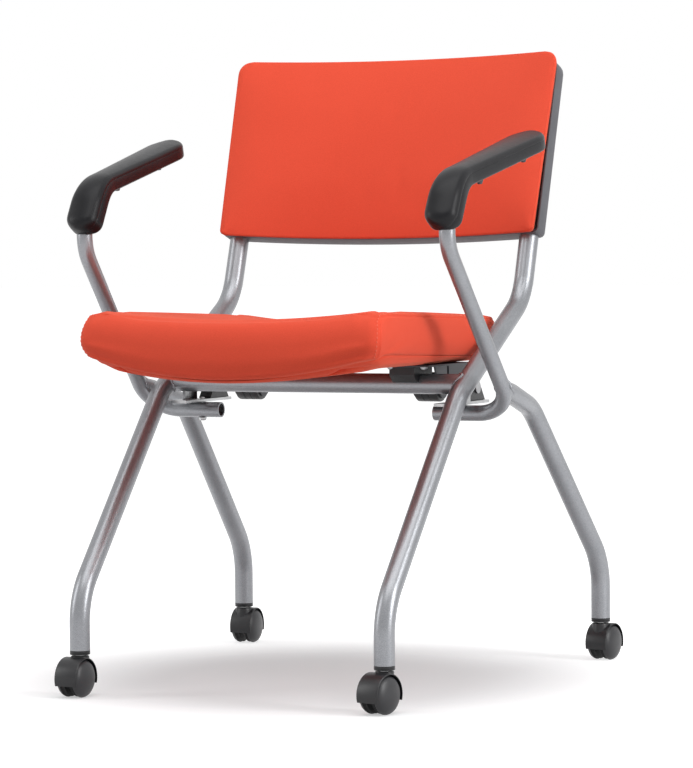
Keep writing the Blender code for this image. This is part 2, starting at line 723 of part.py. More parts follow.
def seat_top(f, t):
    """Height of the cushion's top: raised sides, dished middle, waterfall front, rounded edges."""
    crest = SEAT_UNDERSIDE + SEAT_BASE_THICKNESS + SEAT_CREST + SEAT_BASE_RISE - SEAT_CREST_FALL * t
    dish = SEAT_DISH * max(0.0, 1 - (f / SEAT_DISH_SHARE) ** 2)
    drop = 0.0
    rolls = ((t, SEAT_FRONT_ROLL), (1 - t, SEAT_REAR_ROLL), (1 - abs(f), SEAT_SIDE_ROLL))
    for share, (depth, reach) in rolls:
        drop += SEAT_CREST * depth * max(0.0, 1 - share / reach) ** SEAT_ROLL_POWER
    ahead = max(0.0, 1 - t / SEAT_FRONT_ROLL[1])
    return crest - dish * (1 - ahead / 2) - drop


SEAT_COLUMNS = [-1.0, -0.96, -0.86, -0.5, 0.0, 0.5, 0.86, 0.96, 1.0]
SEAT_ROWS = [0.0, 0.015, 0.04, 0.08, 0.16, 0.36, 0.58, 0.80, 0.92, 0.97, 0.99, 1.0]


def build_seat(hinge):
    def top(f, t):
        return seat_spot(f, t, seat_top(f, t), SEAT_BULGE)

    def seam(f, t):
        return seat_spot(f, t, seat_seam(f, t), SEAT_BULGE)

    def belt(f, t):
        height = seat_seam(f, t)
        height += SEAT_BELT_SHARE * (seat_top(f, t) - height)
        return seat_spot(f, t, height)

    cushion = add_object("seat_cushion", padded_block(SEAT_COLUMNS, SEAT_ROWS, top, seam, belt), "red_fabric")

    def base_top(f, t):
        return seat_spot(f, t, seat_seam(f, t) - GAP, SEAT_BULGE)

    def base_bottom(f, t):
        edge = SEAT_BASE_RISE * max(0.0, abs(f) - SEAT_BASE_FLAT_SHARE) / (1 - SEAT_BASE_FLAT_SHARE)
        height = SEAT_UNDERSIDE + edge - SEAT_LIP_DROP * lip_dip(f, t)
        return seat_spot(f, t, height, SEAT_BULGE + SEAT_BASE_INSET)

    base = add_object("seat_base", padded_block(SEAT_COLUMNS, SEAT_ROWS, base_top, base_bottom), "red_fabric")
    for item in (cushion, base):
        hang(item, hinge)


def build_seat_bracket(side_name, side, hinge):
    """Steel plate with two cheeks that hold the pivot barrel, and a saddle over the crossbar."""
    top = SEAT_UNDERSIDE - GAP
    low = top - BRACKET_THICKNESS
    inner = BARREL_OUTER - BARREL_LENGTH - GAP - BRACKET_THICKNESS
    plate = box((inner, HINGE_Y - BRACKET_FRONT, low), (inner + BRACKET_WIDTH, HINGE_Y + BRACKET_REAR, top))
    bmesh.ops.scale(plate, vec=(side, 1.0, 1.0), verts=plate.verts)
    bracket = add_object("seat_bracket_" + side_name, plate, "zinc", smooth=False)
    round_end = arc((HINGE_Y, HINGE_Z), CHEEK_RADIUS, math.pi, 2 * math.pi, ARC_STEPS)
    half = CHEEK_LENGTH / 2
    outline = round_end + [(HINGE_Y + half, low + BRACKET_THICKNESS / 2),
                           (HINGE_Y - half, low + BRACKET_THICKNESS / 2)]
    for number, x in enumerate((inner, BARREL_OUTER + GAP)):
        cheek = side_prism(outline, side * x, side * (x + BRACKET_THICKNESS))
        combine(bracket, add_cutter("cheek_%d_%s" % (number, side_name), cheek), "UNION")
    edge_x = inner + BRACKET_WIDTH
    lip_front = CROSSBAR.y + CROSSBAR_DIAMETER
    lip = box((edge_x - BRACKET_THICKNESS, lip_front, top - BRACKET_LIP_DROP),
              (edge_x, lip_front + BRACKET_LIP_LENGTH, low + BRACKET_THICKNESS / 2))
    bmesh.ops.scale(lip, vec=(side, 1.0, 1.0), verts=lip.verts)
    combine(bracket, add_cutter("bracket_lip_" + side_name, lip), "UNION")
    axis = Vector((side, 0.0, 0.0))
    centre = Vector((0.0, HINGE_Y, HINGE_Z))
    bore_ends = (inner - BRACKET_THICKNESS, BARREL_OUTER + 2 * BRACKET_THICKNESS)
    bore = solid_tube([centre + axis * x for x in bore_ends], HINGE_PIN_DIAMETER / 2 + GAP, ROUND_SIDES)
    combine(bracket, add_cutter("cheek_bore_" + side_name, bore), "DIFFERENCE")

    bore_radius = HINGE_PIN_DIAMETER / 2 + GAP
    start = BARREL_OUTER - BARREL_LENGTH
    outer_radius = BARREL_DIAMETER / 2
    edge = bore_radius / 3
    profile = [(bore_radius, start), (outer_radius - edge, start), (outer_radius, start + edge),
               (outer_radius, BARREL_OUTER - edge), (outer_radius - edge, BARREL_OUTER),
               (bore_radius, BARREL_OUTER)]
    barrel = add_object("seat_barrel_" + side_name, turned(profile, ROUND_SIDES, centre, axis),
                        "black_plastic")

    notch = CROSSBAR_DIAMETER / 2 + GAP
    bottom = CROSSBAR.z + SADDLE_OVER_BAR
    open_angle = math.asin(SADDLE_OVER_BAR / notch)
    half = SADDLE_LENGTH / 2
    over_bar = arc((CROSSBAR.y, CROSSBAR.z), notch, math.pi - open_angle, open_angle, ARC_STEPS)
    roof = low - GAP
    chamfer = (roof - bottom) / 2
    outline = [(CROSSBAR.y + half, roof), (CROSSBAR.y - half, roof), (CROSSBAR.y - half, bottom + chamfer),
               (CROSSBAR.y - half + chamfer, bottom)] + over_bar
    outline += [(CROSSBAR.y + half - chamfer, bottom), (CROSSBAR.y + half, bottom + chamfer)]
    middle = SADDLE_SPACING / 2
    saddle = add_object("seat_saddle_" + side_name,
                        side_prism(outline, side * (middle - SADDLE_WIDTH / 2),
                                   side * (middle + SADDLE_WIDTH / 2)), "black_plastic")
    for item in (bracket, barrel, saddle):
        hang(item, hinge)


# Backrest, in its own frame: u across, v up the recline, w behind the uprights' axis

def back_point(u, v, w):
    half = SHELL_WIDTH / 2
    curve = BACK_SAG * ((UPRIGHT_WIDTH / 2) ** 2 - u * u) / half ** 2
    return BACK_ORIGIN + Vector((u, 0.0, 0.0)) + BACK_UP * v + BACK_DEPTH * (w + curve)


BACK_INNER_COLUMNS = [-0.76, -0.5, -0.25, 0.0, 0.25, 0.5, 0.76]


def back_columns(half, edge):
    inner = [share * SHELL_WIDTH / 2 for share in BACK_INNER_COLUMNS]
    return [-half, -half + edge] + inner + [half - edge, half]


def edge_share(value, low, high, reach):
    """1 on the outline, falling to 0 at the given reach inside it."""
    return max(0.0, 1 - min(value - low, high - value) / reach)


def tray_block(grow, rim, back, low, high):
    """Closed curved block with a rounded rear edge, used for the shell and for its hollow."""
    half = SHELL_WIDTH / 2 + grow
    round_off = SHELL_EDGE_ROUND
    columns = back_columns(half, round_off)
    rows = [low, low + round_off, (low + high) / 2, high - round_off, high]

    def rear(u, v):
        share = max(edge_share(u, -half, half, round_off), edge_share(v, low, high, round_off))
        return back_point(u, v, back - round_off * share)

    def front(u, v):
        return back_point(u, v, rim)

    return padded_block(columns, rows, rear, front)


def shell_rear():
    return LEG_RADIUS + GAP + SHELL_WALL


def build_back(mains):
    rear = shell_rear()
    shell = add_object("back_shell", tray_block(0.0, -SHELL_FRONT, rear, 0.0, BACK_HEIGHT), "shell_grey")
    hollow = tray_block(-SHELL_WALL, -SHELL_FRONT - SHELL_WALL, rear - SHELL_WALL,
                        SHELL_WALL, BACK_HEIGHT - SHELL_WALL)
    combine(shell, add_cutter("back_shell_hollow", hollow), "DIFFERENCE")
    for side_name, side in SIDES.items():
        entry = solid_tube(main_path(side), LEG_RADIUS + GAP, TUBE_SIDES)
        combine(shell, add_cutter("back_shell_entry_" + side_name, entry), "DIFFERENCE")

    panel_rear = -LEG_RADIUS - GAP
    panel_front = panel_rear - BACK_PANEL_THICKNESS
    half = BACK_PAD_BOTTOM_WIDTH / 2 - BACK_PANEL_INSET
    columns = back_columns(half, SHELL_EDGE_ROUND)
    rows = [BACK_PANEL_INSET, BACK_HEIGHT / 2, BACK_HEIGHT - BACK_PANEL_INSET]
    panel = padded_block(columns, rows, lambda u, v: back_point(u, v, panel_rear),
                         lambda u, v: back_point(u, v, panel_front))
    add_object("back_panel", panel, "board")

    low = -BACK_PAD_OVERHANG
    high = BACK_HEIGHT + BACK_PAD_TOP_OVERHANG
    pad_rear = panel_front - GAP
    pad_front = pad_rear - BACK_PAD_SIDE
    reach = BACK_PAD_CORNER
    narrow = BACK_PAD_BOTTOM_WIDTH / 2
    flare = (BACK_PAD_TOP_WIDTH - BACK_PAD_BOTTOM_WIDTH) / 2
    columns = back_columns(narrow, reach)
    near = reach / 3
    rows = [low, low + near, low + reach, high / 3, high * 2 / 3, high - reach, high - near, high]

    def outline(u, v, inset):
        share = (v - low) / (high - low)
        width = narrow + flare * share - inset
        corner = reach if v > high / 2 else reach / 2
        distance = min(v - low, high - v)
        if distance < corner:
            width -= corner - math.sqrt(corner ** 2 - (corner - distance) ** 2)
        height = low + inset + (v - low) * (1 - 2 * inset / (high - low))
        return u / narrow * width, height

    def pad_face(u, v):
        x, y = outline(u, v, SEAT_BULGE)
        rise = 2 * (v - low) / (high - low) - 1
        crown = BACK_PAD_CROWN * (1 - (u / narrow) ** BACK_PAD_CROWN_POWER)
        crown *= 1 - rise ** BACK_PAD_CROWN_POWER
        return back_point(x, y, pad_front - crown)

    def pad_back(u, v):
        x, y = outline(u, v, SEAT_BULGE / 2)
        return back_point(x, y, pad_rear)

    def pad_belt(u, v):
        x, y = outline(u, v, 0.0)
        return back_point(x, y, (pad_rear + pad_front) / 2)

    add_object("back_pad", padded_block(columns, rows, pad_back, pad_face, pad_belt), "red_fabric")

    length = SHELL_WALL + TUBE_WALL
    for (side_name, side), main in zip(SIDES.items(), mains):
        place = back_point(UPRIGHT_WIDTH / 2 * side, BACK_SCREW_HEIGHT, rear - BACK_SCREW_RECESS)
        add_screw("back_screw_" + side_name, place, -BACK_DEPTH, length, "black_plastic")
        hole = add_screw_hole("back_screw_hole_" + side_name, place, -BACK_DEPTH, length,
                              pocket=SCREW_HEAD_HEIGHT)
        combine(main, hole, "DIFFERENCE")
        combine(shell, hole, "DIFFERENCE")


# Casters

def wheel_profile():
    """Half section of a wheel: domed outer face, rounded tread, blind hub bore on the inner side."""
    radius = WHEEL_DIAMETER / 2
    shoulder = WHEEL_SHOULDER
    bore = AXLE_DIAMETER / 2 + GAP
    disc = radius * WHEEL_DISC_SHARE
    return [(0.0, WHEEL_WIDTH), (disc, WHEEL_WIDTH), (radius - shoulder / 2, WHEEL_WIDTH - shoulder),
            (radius, WHEEL_WIDTH - 2 * shoulder), (radius, shoulder), (radius - shoulder, 0.0),
            (bore, 0.0), (bore, HUB_BORE_DEPTH), (0.0, HUB_BORE_DEPTH)]


def build_caster(corner, place, turn):
    """Plug in the leg end, and below it a swivelling stem, hood and axle with two wheels."""
    swivel = add_empty(corner + "_swivel", Vector((place.x, place.y, 0.0)), turn)
    axle_height = WHEEL_DIAMETER / 2
    hub = Vector((0.0, -CASTER_TRAIL, axle_height))
    across = Vector((1.0, 0.0, 0.0))
    half_web = CASTER_WEB / 2
    wheel_start = half_web + GAP
    wheel_end = wheel_start + WHEEL_WIDTH

    fender = WHEEL_DIAMETER / 2 + HOOD_CLEARANCE
    hood_radius = fender + HOOD_THICKNESS
    dip = math.asin(HOOD_SKIRT / hood_radius)
    outline = arc((hub.y, hub.z), hood_radius, -dip, math.pi + dip, HOOD_ARC_STEPS)
    half_hood = wheel_end - HOOD_SIDE_SHOW
    hood = add_object(corner + "_hood", side_prism(outline, -half_hood, half_hood), "black_plastic")
    boss_top = hub.z + hood_radius
    boss = bmesh.new()
    rod_into(boss, Vector((0.0, 0.0, boss_top - HOOD_BOSS_DEPTH)), Vector((0.0, 0.0, boss_top)),
             HOOD_BOSS_DIAMETER / 2, ROUND_SIDES)
    boss_tool = add_cutter(corner + "_boss", boss)
    boss_tool.parent = swivel
    combine(hood, boss_tool, "UNION")
    room = bmesh.new()
    for way in (-1.0, 1.0):
        rod_into(room, hub + across * way * half_web, hub + across * way * (half_hood + HOOD_THICKNESS),
                 fender, WHEEL_SIDES)
    room_tool = add_cutter(corner + "_wheel_room", room)
    room_tool.parent = swivel
    combine(hood, room_tool, "DIFFERENCE")

    stem_low = boss_top - STEM_SEAT_DEPTH
    stem_radius = STEM_DIAMETER / 2
    neck_radius = STEM_NECK_DIAMETER / 2
    flange_low = LEG_END_HEIGHT - GAP - PLUG_FLANGE
    stem_top = LEG_END_HEIGHT + PLUG_DEPTH
    holes = bmesh.new()
    rod_into(holes, Vector((0.0, 0.0, stem_low - GAP)), Vector((0.0, 0.0, boss_top + GAP)),
             stem_radius + GAP, ROUND_SIDES)
    rod_into(holes, hub - across * half_web * 2, hub + across * half_web * 2, AXLE_DIAMETER / 2 + GAP,
             ROUND_SIDES)
    hole_tool = add_cutter(corner + "_hood_holes", holes)
    hole_tool.parent = swivel
    combine(hood, hole_tool, "DIFFERENCE")

    profile = [(0.0, stem_low), (stem_radius, stem_low), (stem_radius, boss_top + GAP),
               (neck_radius, boss_top + GAP), (neck_radius, flange_low - GAP),
               (stem_radius, flange_low - GAP),
               (stem_radius, stem_top - stem_radius / 2), (stem_radius / 2, stem_top), (0.0, stem_top)]
    stem = add_object(corner + "_stem", turned(profile, ROUND_SIDES, Vector(), UP), "zinc")

    axle = bmesh.new()
    reach = wheel_start + HUB_BORE_DEPTH - GAP
    rod_into(axle, hub - across * reach, hub + across * reach, AXLE_DIAMETER / 2, ROUND_SIDES)
    axle_pin = add_object(corner + "_axle", axle, "steel")
    for item in (hood, stem, axle_pin):
        item.parent = swivel

    for wheel_name, way in (("wheel_a", -1.0), ("wheel_b", 1.0)):
        body = turned(wheel_profile(), WHEEL_SIDES, Vector((way * wheel_start, 0.0, 0.0)), across * way)
        wheel = add_object("%s_%s" % (corner, wheel_name), body, "black_plastic")
        wheel.parent = swivel
        wheel.location = hub

    sleeve = LEG_BORE * math.cos(math.pi / TUBE_SIDES) - GAP
    bore = stem_radius + GAP
    plug_profile = [(bore, flange_low), (LEG_RADIUS, flange_low), (LEG_RADIUS, LEG_END_HEIGHT - GAP),
                    (sleeve, LEG_END_HEIGHT - GAP), (sleeve, stem_top), (bore, stem_top)]
    add_object(corner + "_plug", turned(plug_profile, ROUND_SIDES, Vector((place.x, place.y, 0.0)), UP),
               "black_plastic")


def build():
    clear_scene()
    hinge = add_empty("seat_hinge", Vector((0.0, HINGE_Y, HINGE_Z)))
    mains = []
    for side_name, side in SIDES.items():
        main, arm = build_frame(side_name, side)
        mains.append(main)
        pad = build_arm_pad(side_name, side)
        strip = add_object("arm_strip_" + side_name, strip_mesh(side, 0.0), "steel", smooth=False)
        build_arm_screws(side_name, side, strip, pad)
        bar = build_hinge(side_name, side)
        build_stub_bolt(side_name, side, bar, arm)
        build_seat_bracket(side_name, side, hinge)
    build_crossbar()
    build_seat(hinge)
    build_back(mains)
    for corner, turn in SWIVEL_TURNS.items():
        side = SIDES[corner.split("_")[1]]
        front = corner.startswith("front")
        track = FRONT_TRACK if front else REAR_TRACK
        build_caster(corner, Vector((side * track / 2, FRONT_Y if front else REAR_Y, 0.0)), turn)


build()
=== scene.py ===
"""Looks of a flip-seat training chair on casters: bent tube frame, upholstered seat and back, arm pads.

Metres, +Z up, floor at Z = 0. The chair faces -Y and +X is the sitter's left.
"""

import json
import math

import bmesh
import bpy
from mathutils import Matrix, Vector
from mathutils.bvhtree import BVHTree
from mathutils.kdtree import KDTree


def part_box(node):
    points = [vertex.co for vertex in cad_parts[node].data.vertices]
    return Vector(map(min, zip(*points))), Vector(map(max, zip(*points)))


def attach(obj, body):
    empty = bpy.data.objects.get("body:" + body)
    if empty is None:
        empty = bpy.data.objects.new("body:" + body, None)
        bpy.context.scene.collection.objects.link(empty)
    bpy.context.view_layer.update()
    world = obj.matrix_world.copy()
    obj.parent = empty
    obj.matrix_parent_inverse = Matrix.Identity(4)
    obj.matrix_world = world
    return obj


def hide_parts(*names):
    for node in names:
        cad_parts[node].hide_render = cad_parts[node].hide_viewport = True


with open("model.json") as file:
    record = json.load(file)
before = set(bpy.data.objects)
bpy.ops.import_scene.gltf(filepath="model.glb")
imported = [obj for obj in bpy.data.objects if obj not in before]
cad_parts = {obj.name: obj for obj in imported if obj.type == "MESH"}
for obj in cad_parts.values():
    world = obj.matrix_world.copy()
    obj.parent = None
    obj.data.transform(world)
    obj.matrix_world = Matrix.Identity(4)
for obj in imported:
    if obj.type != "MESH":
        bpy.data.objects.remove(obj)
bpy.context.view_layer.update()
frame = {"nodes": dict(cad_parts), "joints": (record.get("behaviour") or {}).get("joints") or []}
nodes = frame["nodes"]
joints = {joint["name"]: joint for joint in frame["joints"]}

SIDES = {"left": 1.0, "right": -1.0}
CORNERS = ("front_left", "front_right", "rear_left", "rear_right")
UP = Vector((0.0, 0.0, 1.0))
SIDEWAYS = Vector((1.0, 0.0, 0.0))
SMOOTH_ANGLE = math.radians(35.0)
PAD_SMOOTH_ANGLE = math.radians(50.0)
BASE_SMOOTH_ANGLE = math.radians(60.0)
EDGE_ANGLE = math.radians(40.0)
GAP = 0.0003

# Tube frame: bend points of the left side, in order along each tube
LEG_RADIUS = 0.0127
ARM_RADIUS = 0.010
TUBE_WALL = 0.002
TUBE_SIDES = 40
BEND_STEPS = 16
LEG_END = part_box("main_tube_left")[0].z
FRONT_FOOT = 0.0657
REAR_FOOT = 0.0746
KINK = Vector((0.2095, -0.0640, 0.3670))
UPRIGHT_FOOT = Vector((0.2115, 0.1455, 0.4847))
UPRIGHT_LENGTH = 0.225
REAR_BEND = Vector((0.2500, 0.0780, 0.3470))
ARM_POST = Vector((0.2490, -0.1876, 0.5517))
ARM_POST_LENGTH = 0.055
HOOK = Vector((0.2580, -0.0026, 0.3427))
STUB_END = 0.152
FOOT_BEND = 0.085
KINK_BEND = 0.060
UPRIGHT_BEND = 0.075
ARM_POST_BEND = 0.050
HOOK_BEND = 0.045
REAR_LEG_BEND = 0.070
STUB_DEPTH = 0.030
REAR_TIP_GIRTH = 0.80
REAR_TIP_LENGTH = 0.030
WELD_WIDTH = 0.0042
WELD_PITCH = 0.0021
WELD_INSIDE = 0.98
WELD_STEPS = 48

# Arm pads
PAD_CORNER = Vector((0.2490, -0.1708, 0.6300))
PAD_TILT = math.radians(13.2)
PAD_LENGTH = 0.2465
PAD_TOE_OUT = 0.013
PAD_TAIL_RISE = 0.0008
PAD_BEND = 0.0628
PAD_LOBE_DROP = 0.0565
PAD_LOBE_FORWARD = 0.0141
PAD_INWARD = 0.003
PAD_LOBE = (0.0213, 0.0137)
PAD_SLIM = (0.0180, 0.0103)
PAD_TAIL = (0.0262, 0.0095)
PAD_CROWN = 0.0040
PAD_TOP_ROUND = (0.0088, 0.0048)
PAD_LOW_ROUND = 0.0030
PAD_PARTING = 0.0004
PAD_EASE_END = 1.15
PAD_BEND_STEPS = 18
PAD_RUN_STEPS = 20
PAD_END_STEPS = 9
PAD_LOBE_WIDTH_END = (0.019, 0.12)
PAD_LOBE_THICK_END = (0.014, 0.15)
PAD_TAIL_WIDTH_END = (0.030, 0.25)
PAD_TAIL_THICK_END = (0.005, 0.65)

# Seat
seat_low, seat_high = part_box("seat_cushion")
SEAT_UNDERSIDE = 0.4055
SEAT_FRONT = seat_low.y
SEAT_DEEPER = 0.006
SEAT_DEPTH = seat_high.y - seat_low.y + SEAT_DEEPER
SEAT_FRONT_WIDTH = 0.410
SEAT_REAR_WIDTH = 0.376
SEAT_FRONT_CORNER = 0.027
SEAT_REAR_CORNER = 0.012
SEAT_BASE_CORNER = 0.036
SEAT_CORNER_CREASE = 0.0039
SEAT_FRONT_BOW = 0.012
SEAT_BASE_THICKNESS = 0.0085
SEAT_BASE_RISE = 0.0045
SEAT_BASE_INSET = 0.009
SEAT_BASE_FLAT = 0.9
SEAT_LIP_DROP = 0.0165
SEAT_SEAM_DROP = 0.0216
SEAT_LIP_LENGTH = 0.095
SEAT_CREST = 0.0585
SEAT_CREST_FALL = 0.012
SEAT_DISH = 0.014
SEAT_BULGE = 0.005
SEAT_NOSE = 0.006
SEAT_NOSE_LENGTH = 0.060
SEAT_BELT = 0.40
SEAT_ROLL_BACK = 0.022
SEAT_ROLL_IN = 0.012
SEAT_FRONT_ROLL = (0.12, 0.10)
SEAT_REAR_ROLL = (0.12, 0.05)
SEAT_SIDE_ROLL = (0.03, 0.06)
SEAT_CORNER_ROLL = (0.08, 0.06)
SEAT_ROLL_POWER = 2.2
SEAT_CORNER_POWER = 6
SEAT_SWELL = 0.0022
SEAT_STARTING_INSET = 0.0010
CORNER_SEAM_T = 0.030
SIDE_SEAM_SHARE = 0.94
SIDE_SEAM_END = 0.970
SEAM_WIDTH = 0.0018
SEAM_DEPTH = 0.0014
STITCH_LENGTH = 0.0030
STITCH_PITCH = 0.0052
STITCH_THICKNESS = 0.0011
STITCH_OFFSET = 0.0042
STITCH_LIFT = STITCH_THICKNESS * 0.1
SIDE_FOLD_T = (0.36, 0.48)
SIDE_FOLD_WIDTH = 0.009
SIDE_FOLD_DEPTH = 0.0008
SIDE_PANEL_TUCK = (0.0015, 0.0025)
SIDE_PANEL_EDGE = 0.0037
SIDE_PANEL_LIFT = 0.005
SIDE_PANEL_FALL = 0.014
SIDE_PANEL_LIFT_END = 0.08
SIDE_PANEL_FALL_START = 0.1
SIDE_PANEL_FALL_LENGTH = 0.75
SIDE_PANEL_FRONT = 0.10
SIDE_PANEL_REAR = 0.06
SIDE_PANEL_POWER = 2.5
FRONT_BEAD = 0.0035
FRONT_BEAD_SHARE = 0.13
SEAM_TUCK = 0.0025
SEAM_TURN = 0.025
SEAM_HOLD = 0.0012
LINE_STEP = 0.002
SEAM_STEP = 0.001
SEAT_WALL_SHARES = (0.996, 0.985, 0.965, SIDE_SEAM_SHARE, 0.91, 0.87, 0.81, 0.73, 0.64, 0.55, 0.46, 0.37, 0.29, 0.21,
                    0.15, 0.11, 0.075, 0.045, 0.02)
SEAT_BASE_SHARES = (0.95, 0.85, 0.7, 0.5, 0.3, 0.15, 0.05)
SEAT_GRID = (73, 73)
SEAT_BASE_GRID = (41, 43)
SEAT_BASE_ROUND = 0.0022

# Cover fabric, and the cloth that swells the seat cushion and the back pad
WEAVE_PITCH = 0.0011
CLOTH_PRESSURE = 4.0
CLOTH_FRAMES = 20
HELD_FACING = 0.8
CLOTH_GRID_EVEN = 0.3

# Backrest, in its own frame: u across, v up the recline, w behind the uprights' axis
BACK_RECLINE = math.radians(18.5)
BACK_RISE = 0.0855
BACK_HEIGHT = 0.2425
BACK_SAG = 0.022
SHELL_WIDTH = 0.456
SHELL_OUTER = 0.462
SHELL_WALL = 0.003
SHELL_FRONT = -0.0150
SHELL_REAR = LEG_RADIUS + GAP + SHELL_WALL
SHELL_ROUND = 0.009
SHELL_TOP_CORNER = 0.016
SHELL_LOW_CORNER = 0.007
BACK_PAD_REAR = -0.0159
BACK_PAD_SIDE = 0.0125
BACK_PAD_CROWN = 0.007
BACK_PAD_LOW = -0.003
BACK_PAD_HIGH = BACK_HEIGHT + 0.009
BACK_PAD_LOW_WIDTH = 0.457
BACK_PAD_TOP_WIDTH = 0.469
BACK_PAD_TOP_CORNER = 0.020
BACK_PAD_LOW_CORNER = 0.007
BACK_PAD_ARCH = 0.0025
BACK_PAD_ROLL = 0.0045
BACK_PAD_TUCK = 0.0045
BACK_PAD_SWELL = 0.003
BACK_PAD_GRID = (81, 51)
SHELL_GRID = (43, 33)
SHELL_RIM = 0.0008
SHELL_FLOOR_EASE = 0.001
BACK_PAD_TUCK_STEPS = ((0.4, 0.004), (0.7, 0.0015))
LEAST_CORNER = 0.001
BACK_UP = Vector((0.0, math.sin(BACK_RECLINE), math.cos(BACK_RECLINE)))
BACK_DEPTH = Vector((0.0, math.cos(BACK_RECLINE), -math.sin(BACK_RECLINE)))
BACK_ORIGIN = Vector((0.0, UPRIGHT_FOOT.y, UPRIGHT_FOOT.z)) + BACK_UP * BACK_RISE

# Casters
WHEEL_RADIUS = 0.0235
WHEEL_WIDTH = 0.0134
WEB_HALF = 0.00375
HOOD_CLEARANCE = 0.0009
HOOD_THICKNESS = 0.0014
HOOD_SKIRT = 0.008
HOOD_SIDE_SHOW = 0.0020
HOOD_EDGE = 0.0012
HOOD_STEPS = 40
HOOD_LIP = HOOD_THICKNESS * 0.6
WEB_OVERLAP = 0.0006
BOSS_RISE = 0.0009
TREAD_STEP = 0.0009
TREAD_GROOVES = (0.0036, 0.0018)
TREAD_GROOVE_DEPTH = 0.0012
TREAD_GROOVE_HALF = (0.0005, 0.0004)
TREAD_TOP = 0.0081
TREAD_EDGE = 0.0007
COVER_DOME = ((0.0, 0.0018), (0.006, 0.0016), (0.012, 0.0009), (0.0165, -0.0003), (0.0195, -0.0017),
              (0.0215, -0.0033), (0.0228, -0.0053), (WHEEL_RADIUS, -0.0074), (WHEEL_RADIUS, -0.0080))
BOSS_RADIUS = 0.0115
BOSS_EDGE = 0.0012
BOSS_SHARES = (1.0, 0.75, 0.5, 0.25, 0.02)
STEM_RADIUS = 0.004
NECK_RADIUS = 0.006
AXLE_RADIUS = 0.003
HUB_BORE_DEPTH = 0.0094
PLUG_FLANGE = 0.005
PLUG_DEPTH = 0.030
PLUG_EDGE = 0.0007
PLUG_GROOVE = 0.0024
PLUG_GROOVE_HALF = 0.0004
PLUG_GROOVE_DEPTH = 0.0005
STEM_SINK = 0.007
STEM_TIP = 0.002
STEM_SIDES = 32
TURN_SIDES = 56

# Seat barrels, screws and the CAD pieces that stay
BARREL_BORE = 0.0053
BARREL_EDGE = 0.0018
BARREL_GROOVES = (0.35, 0.62)
BARREL_GROOVE_HALF = (0.0009, 0.0004)
BARREL_GROOVE_DEPTH = 0.0008
SCREW_HEAD = 0.0095
SCREW_HEIGHT = 0.0035
SCREW_SHANK = 0.010
ARM_SCREW_HEIGHT = 0.008
BACK_SCREW_RISE = 0.070
BACK_SCREW_SINK = 0.0011
BRACKET_PLATE = 0.0025
BRACKET_SCREW_EDGE = 0.012
BRACKET_SCREW_INNER = 0.010
NODE_BEVEL = 0.0006

# View of the photograph, for an image of 693 by 768
LENS = 149.94
SENSOR_WIDTH = 36.0
CAMERA_YAW = math.radians(24.925)
CAMERA_PITCH = math.radians(2.168)
CAMERA_ROLL = math.radians(0.444)
CAMERA_TARGET = Vector((0.0273, 0.0, 0.3778))
CAMERA_DISTANCE = 4.105

# Studio: floor, world, and soft lights as (place, size, level)
WHITE = (1.0, 1.0, 1.0, 1.0)
FLOOR_GREY = (0.62, 0.62, 0.63, 1.0)
FLOOR_REACH = 60.0
# Painted shadow on the floor: the glow to the camera sinks to this level round a middle point under the chair and
# rises to white past the reach, on top of the real shadow
PAINTED_SHADOW_GLOW = 0.25
PAINTED_SHADOW_MIDDLE = (0.0, -0.04, 0.0)
PAINTED_SHADOW_REACH = (0.18, 0.62)
WORLD_LIGHT = 0.22
LIT_MIDDLE = Vector((0.0, -0.05, 0.45))
SOFTBOXES = {"top_softbox": (Vector((0.3, -0.7, 2.3)), (2.2, 2.0), 0.78),
             "right_softbox": (Vector((3.0, -0.3, 1.4)), (1.0, 2.0), 0.58),
             "left_softbox": (Vector((-2.6, -1.6, 1.4)), (0.8, 2.0), 0.24)}


# Node trees

def add_node(tree, kind, inputs=None, **settings):
    """A node with its settings; an input is either a value or another node's output."""
    node = tree.nodes.new(kind)
    for name, value in settings.items():
        setattr(node, name, value)
    for name, value in (inputs or {}).items():
        if isinstance(value, bpy.types.NodeSocket):
            tree.links.new(value, node.inputs[name])
        else:
            node.inputs[name].default_value = value
    return node


class ShapeTree:
    """A Geometry Nodes tree with named inputs."""

    def __init__(self, name, sockets):
        self.tree = bpy.data.node_groups.new(name, "GeometryNodeTree")
        face = self.tree.interface
        face.new_socket("Geometry", in_out="OUTPUT", socket_type="NodeSocketGeometry")
        face.new_socket("Geometry", in_out="INPUT", socket_type="NodeSocketGeometry")
        self.keys = {}
        for label, kind in {**sockets, "Finish": "Material"}.items():
            socket = face.new_socket(label, in_out="INPUT", socket_type="NodeSocket" + kind)
            self.keys[label] = socket.identifier
        self.start = self.tree.nodes.new("NodeGroupInput").outputs
        self.end = self.tree.nodes.new("NodeGroupOutput")

    def add(self, kind, inputs=None, **settings):
        """Outputs of a new node; a kind without Node in it is a geometry node."""
        full = kind if "Node" in kind else "GeometryNode" + kind
        return add_node(self.tree, full, inputs, **settings).outputs

    def carried(self, name, kind="FLOAT"):
        """A value that the points carry."""
        return self.add("InputNamedAttribute", {"Name": name}, data_type=kind)["Attribute"]

    def close(self, geometry):
        """Realize what was made, give it its finish and send it out."""
        whole = self.add("RealizeInstances", {"Geometry": geometry})
        done = self.add("SetMaterial", {"Geometry": whole[0], "Material": self.start["Finish"]})
        self.tree.links.new(done[0], self.end.inputs[0])
        return self

    def grow(self, name, mesh, values):
        """Run the tree on a mesh and keep the result as a plain mesh object."""
        item = bpy.data.objects.new(name, mesh)
        bpy.context.scene.collection.objects.link(item)
        change = item.modifiers.new(name, "NODES")
        change.node_group = self.tree
        for label, value in values.items():
            change[self.keys[label]] = value
        return bake(item)


def bake(item):
    """Turn an object's modifiers into its own mesh."""
    evaluated = item.evaluated_get(bpy.context.evaluated_depsgraph_get())
    mesh = bpy.data.meshes.new_from_object(evaluated)
    item.modifiers.clear()
    item.data = mesh
    return item


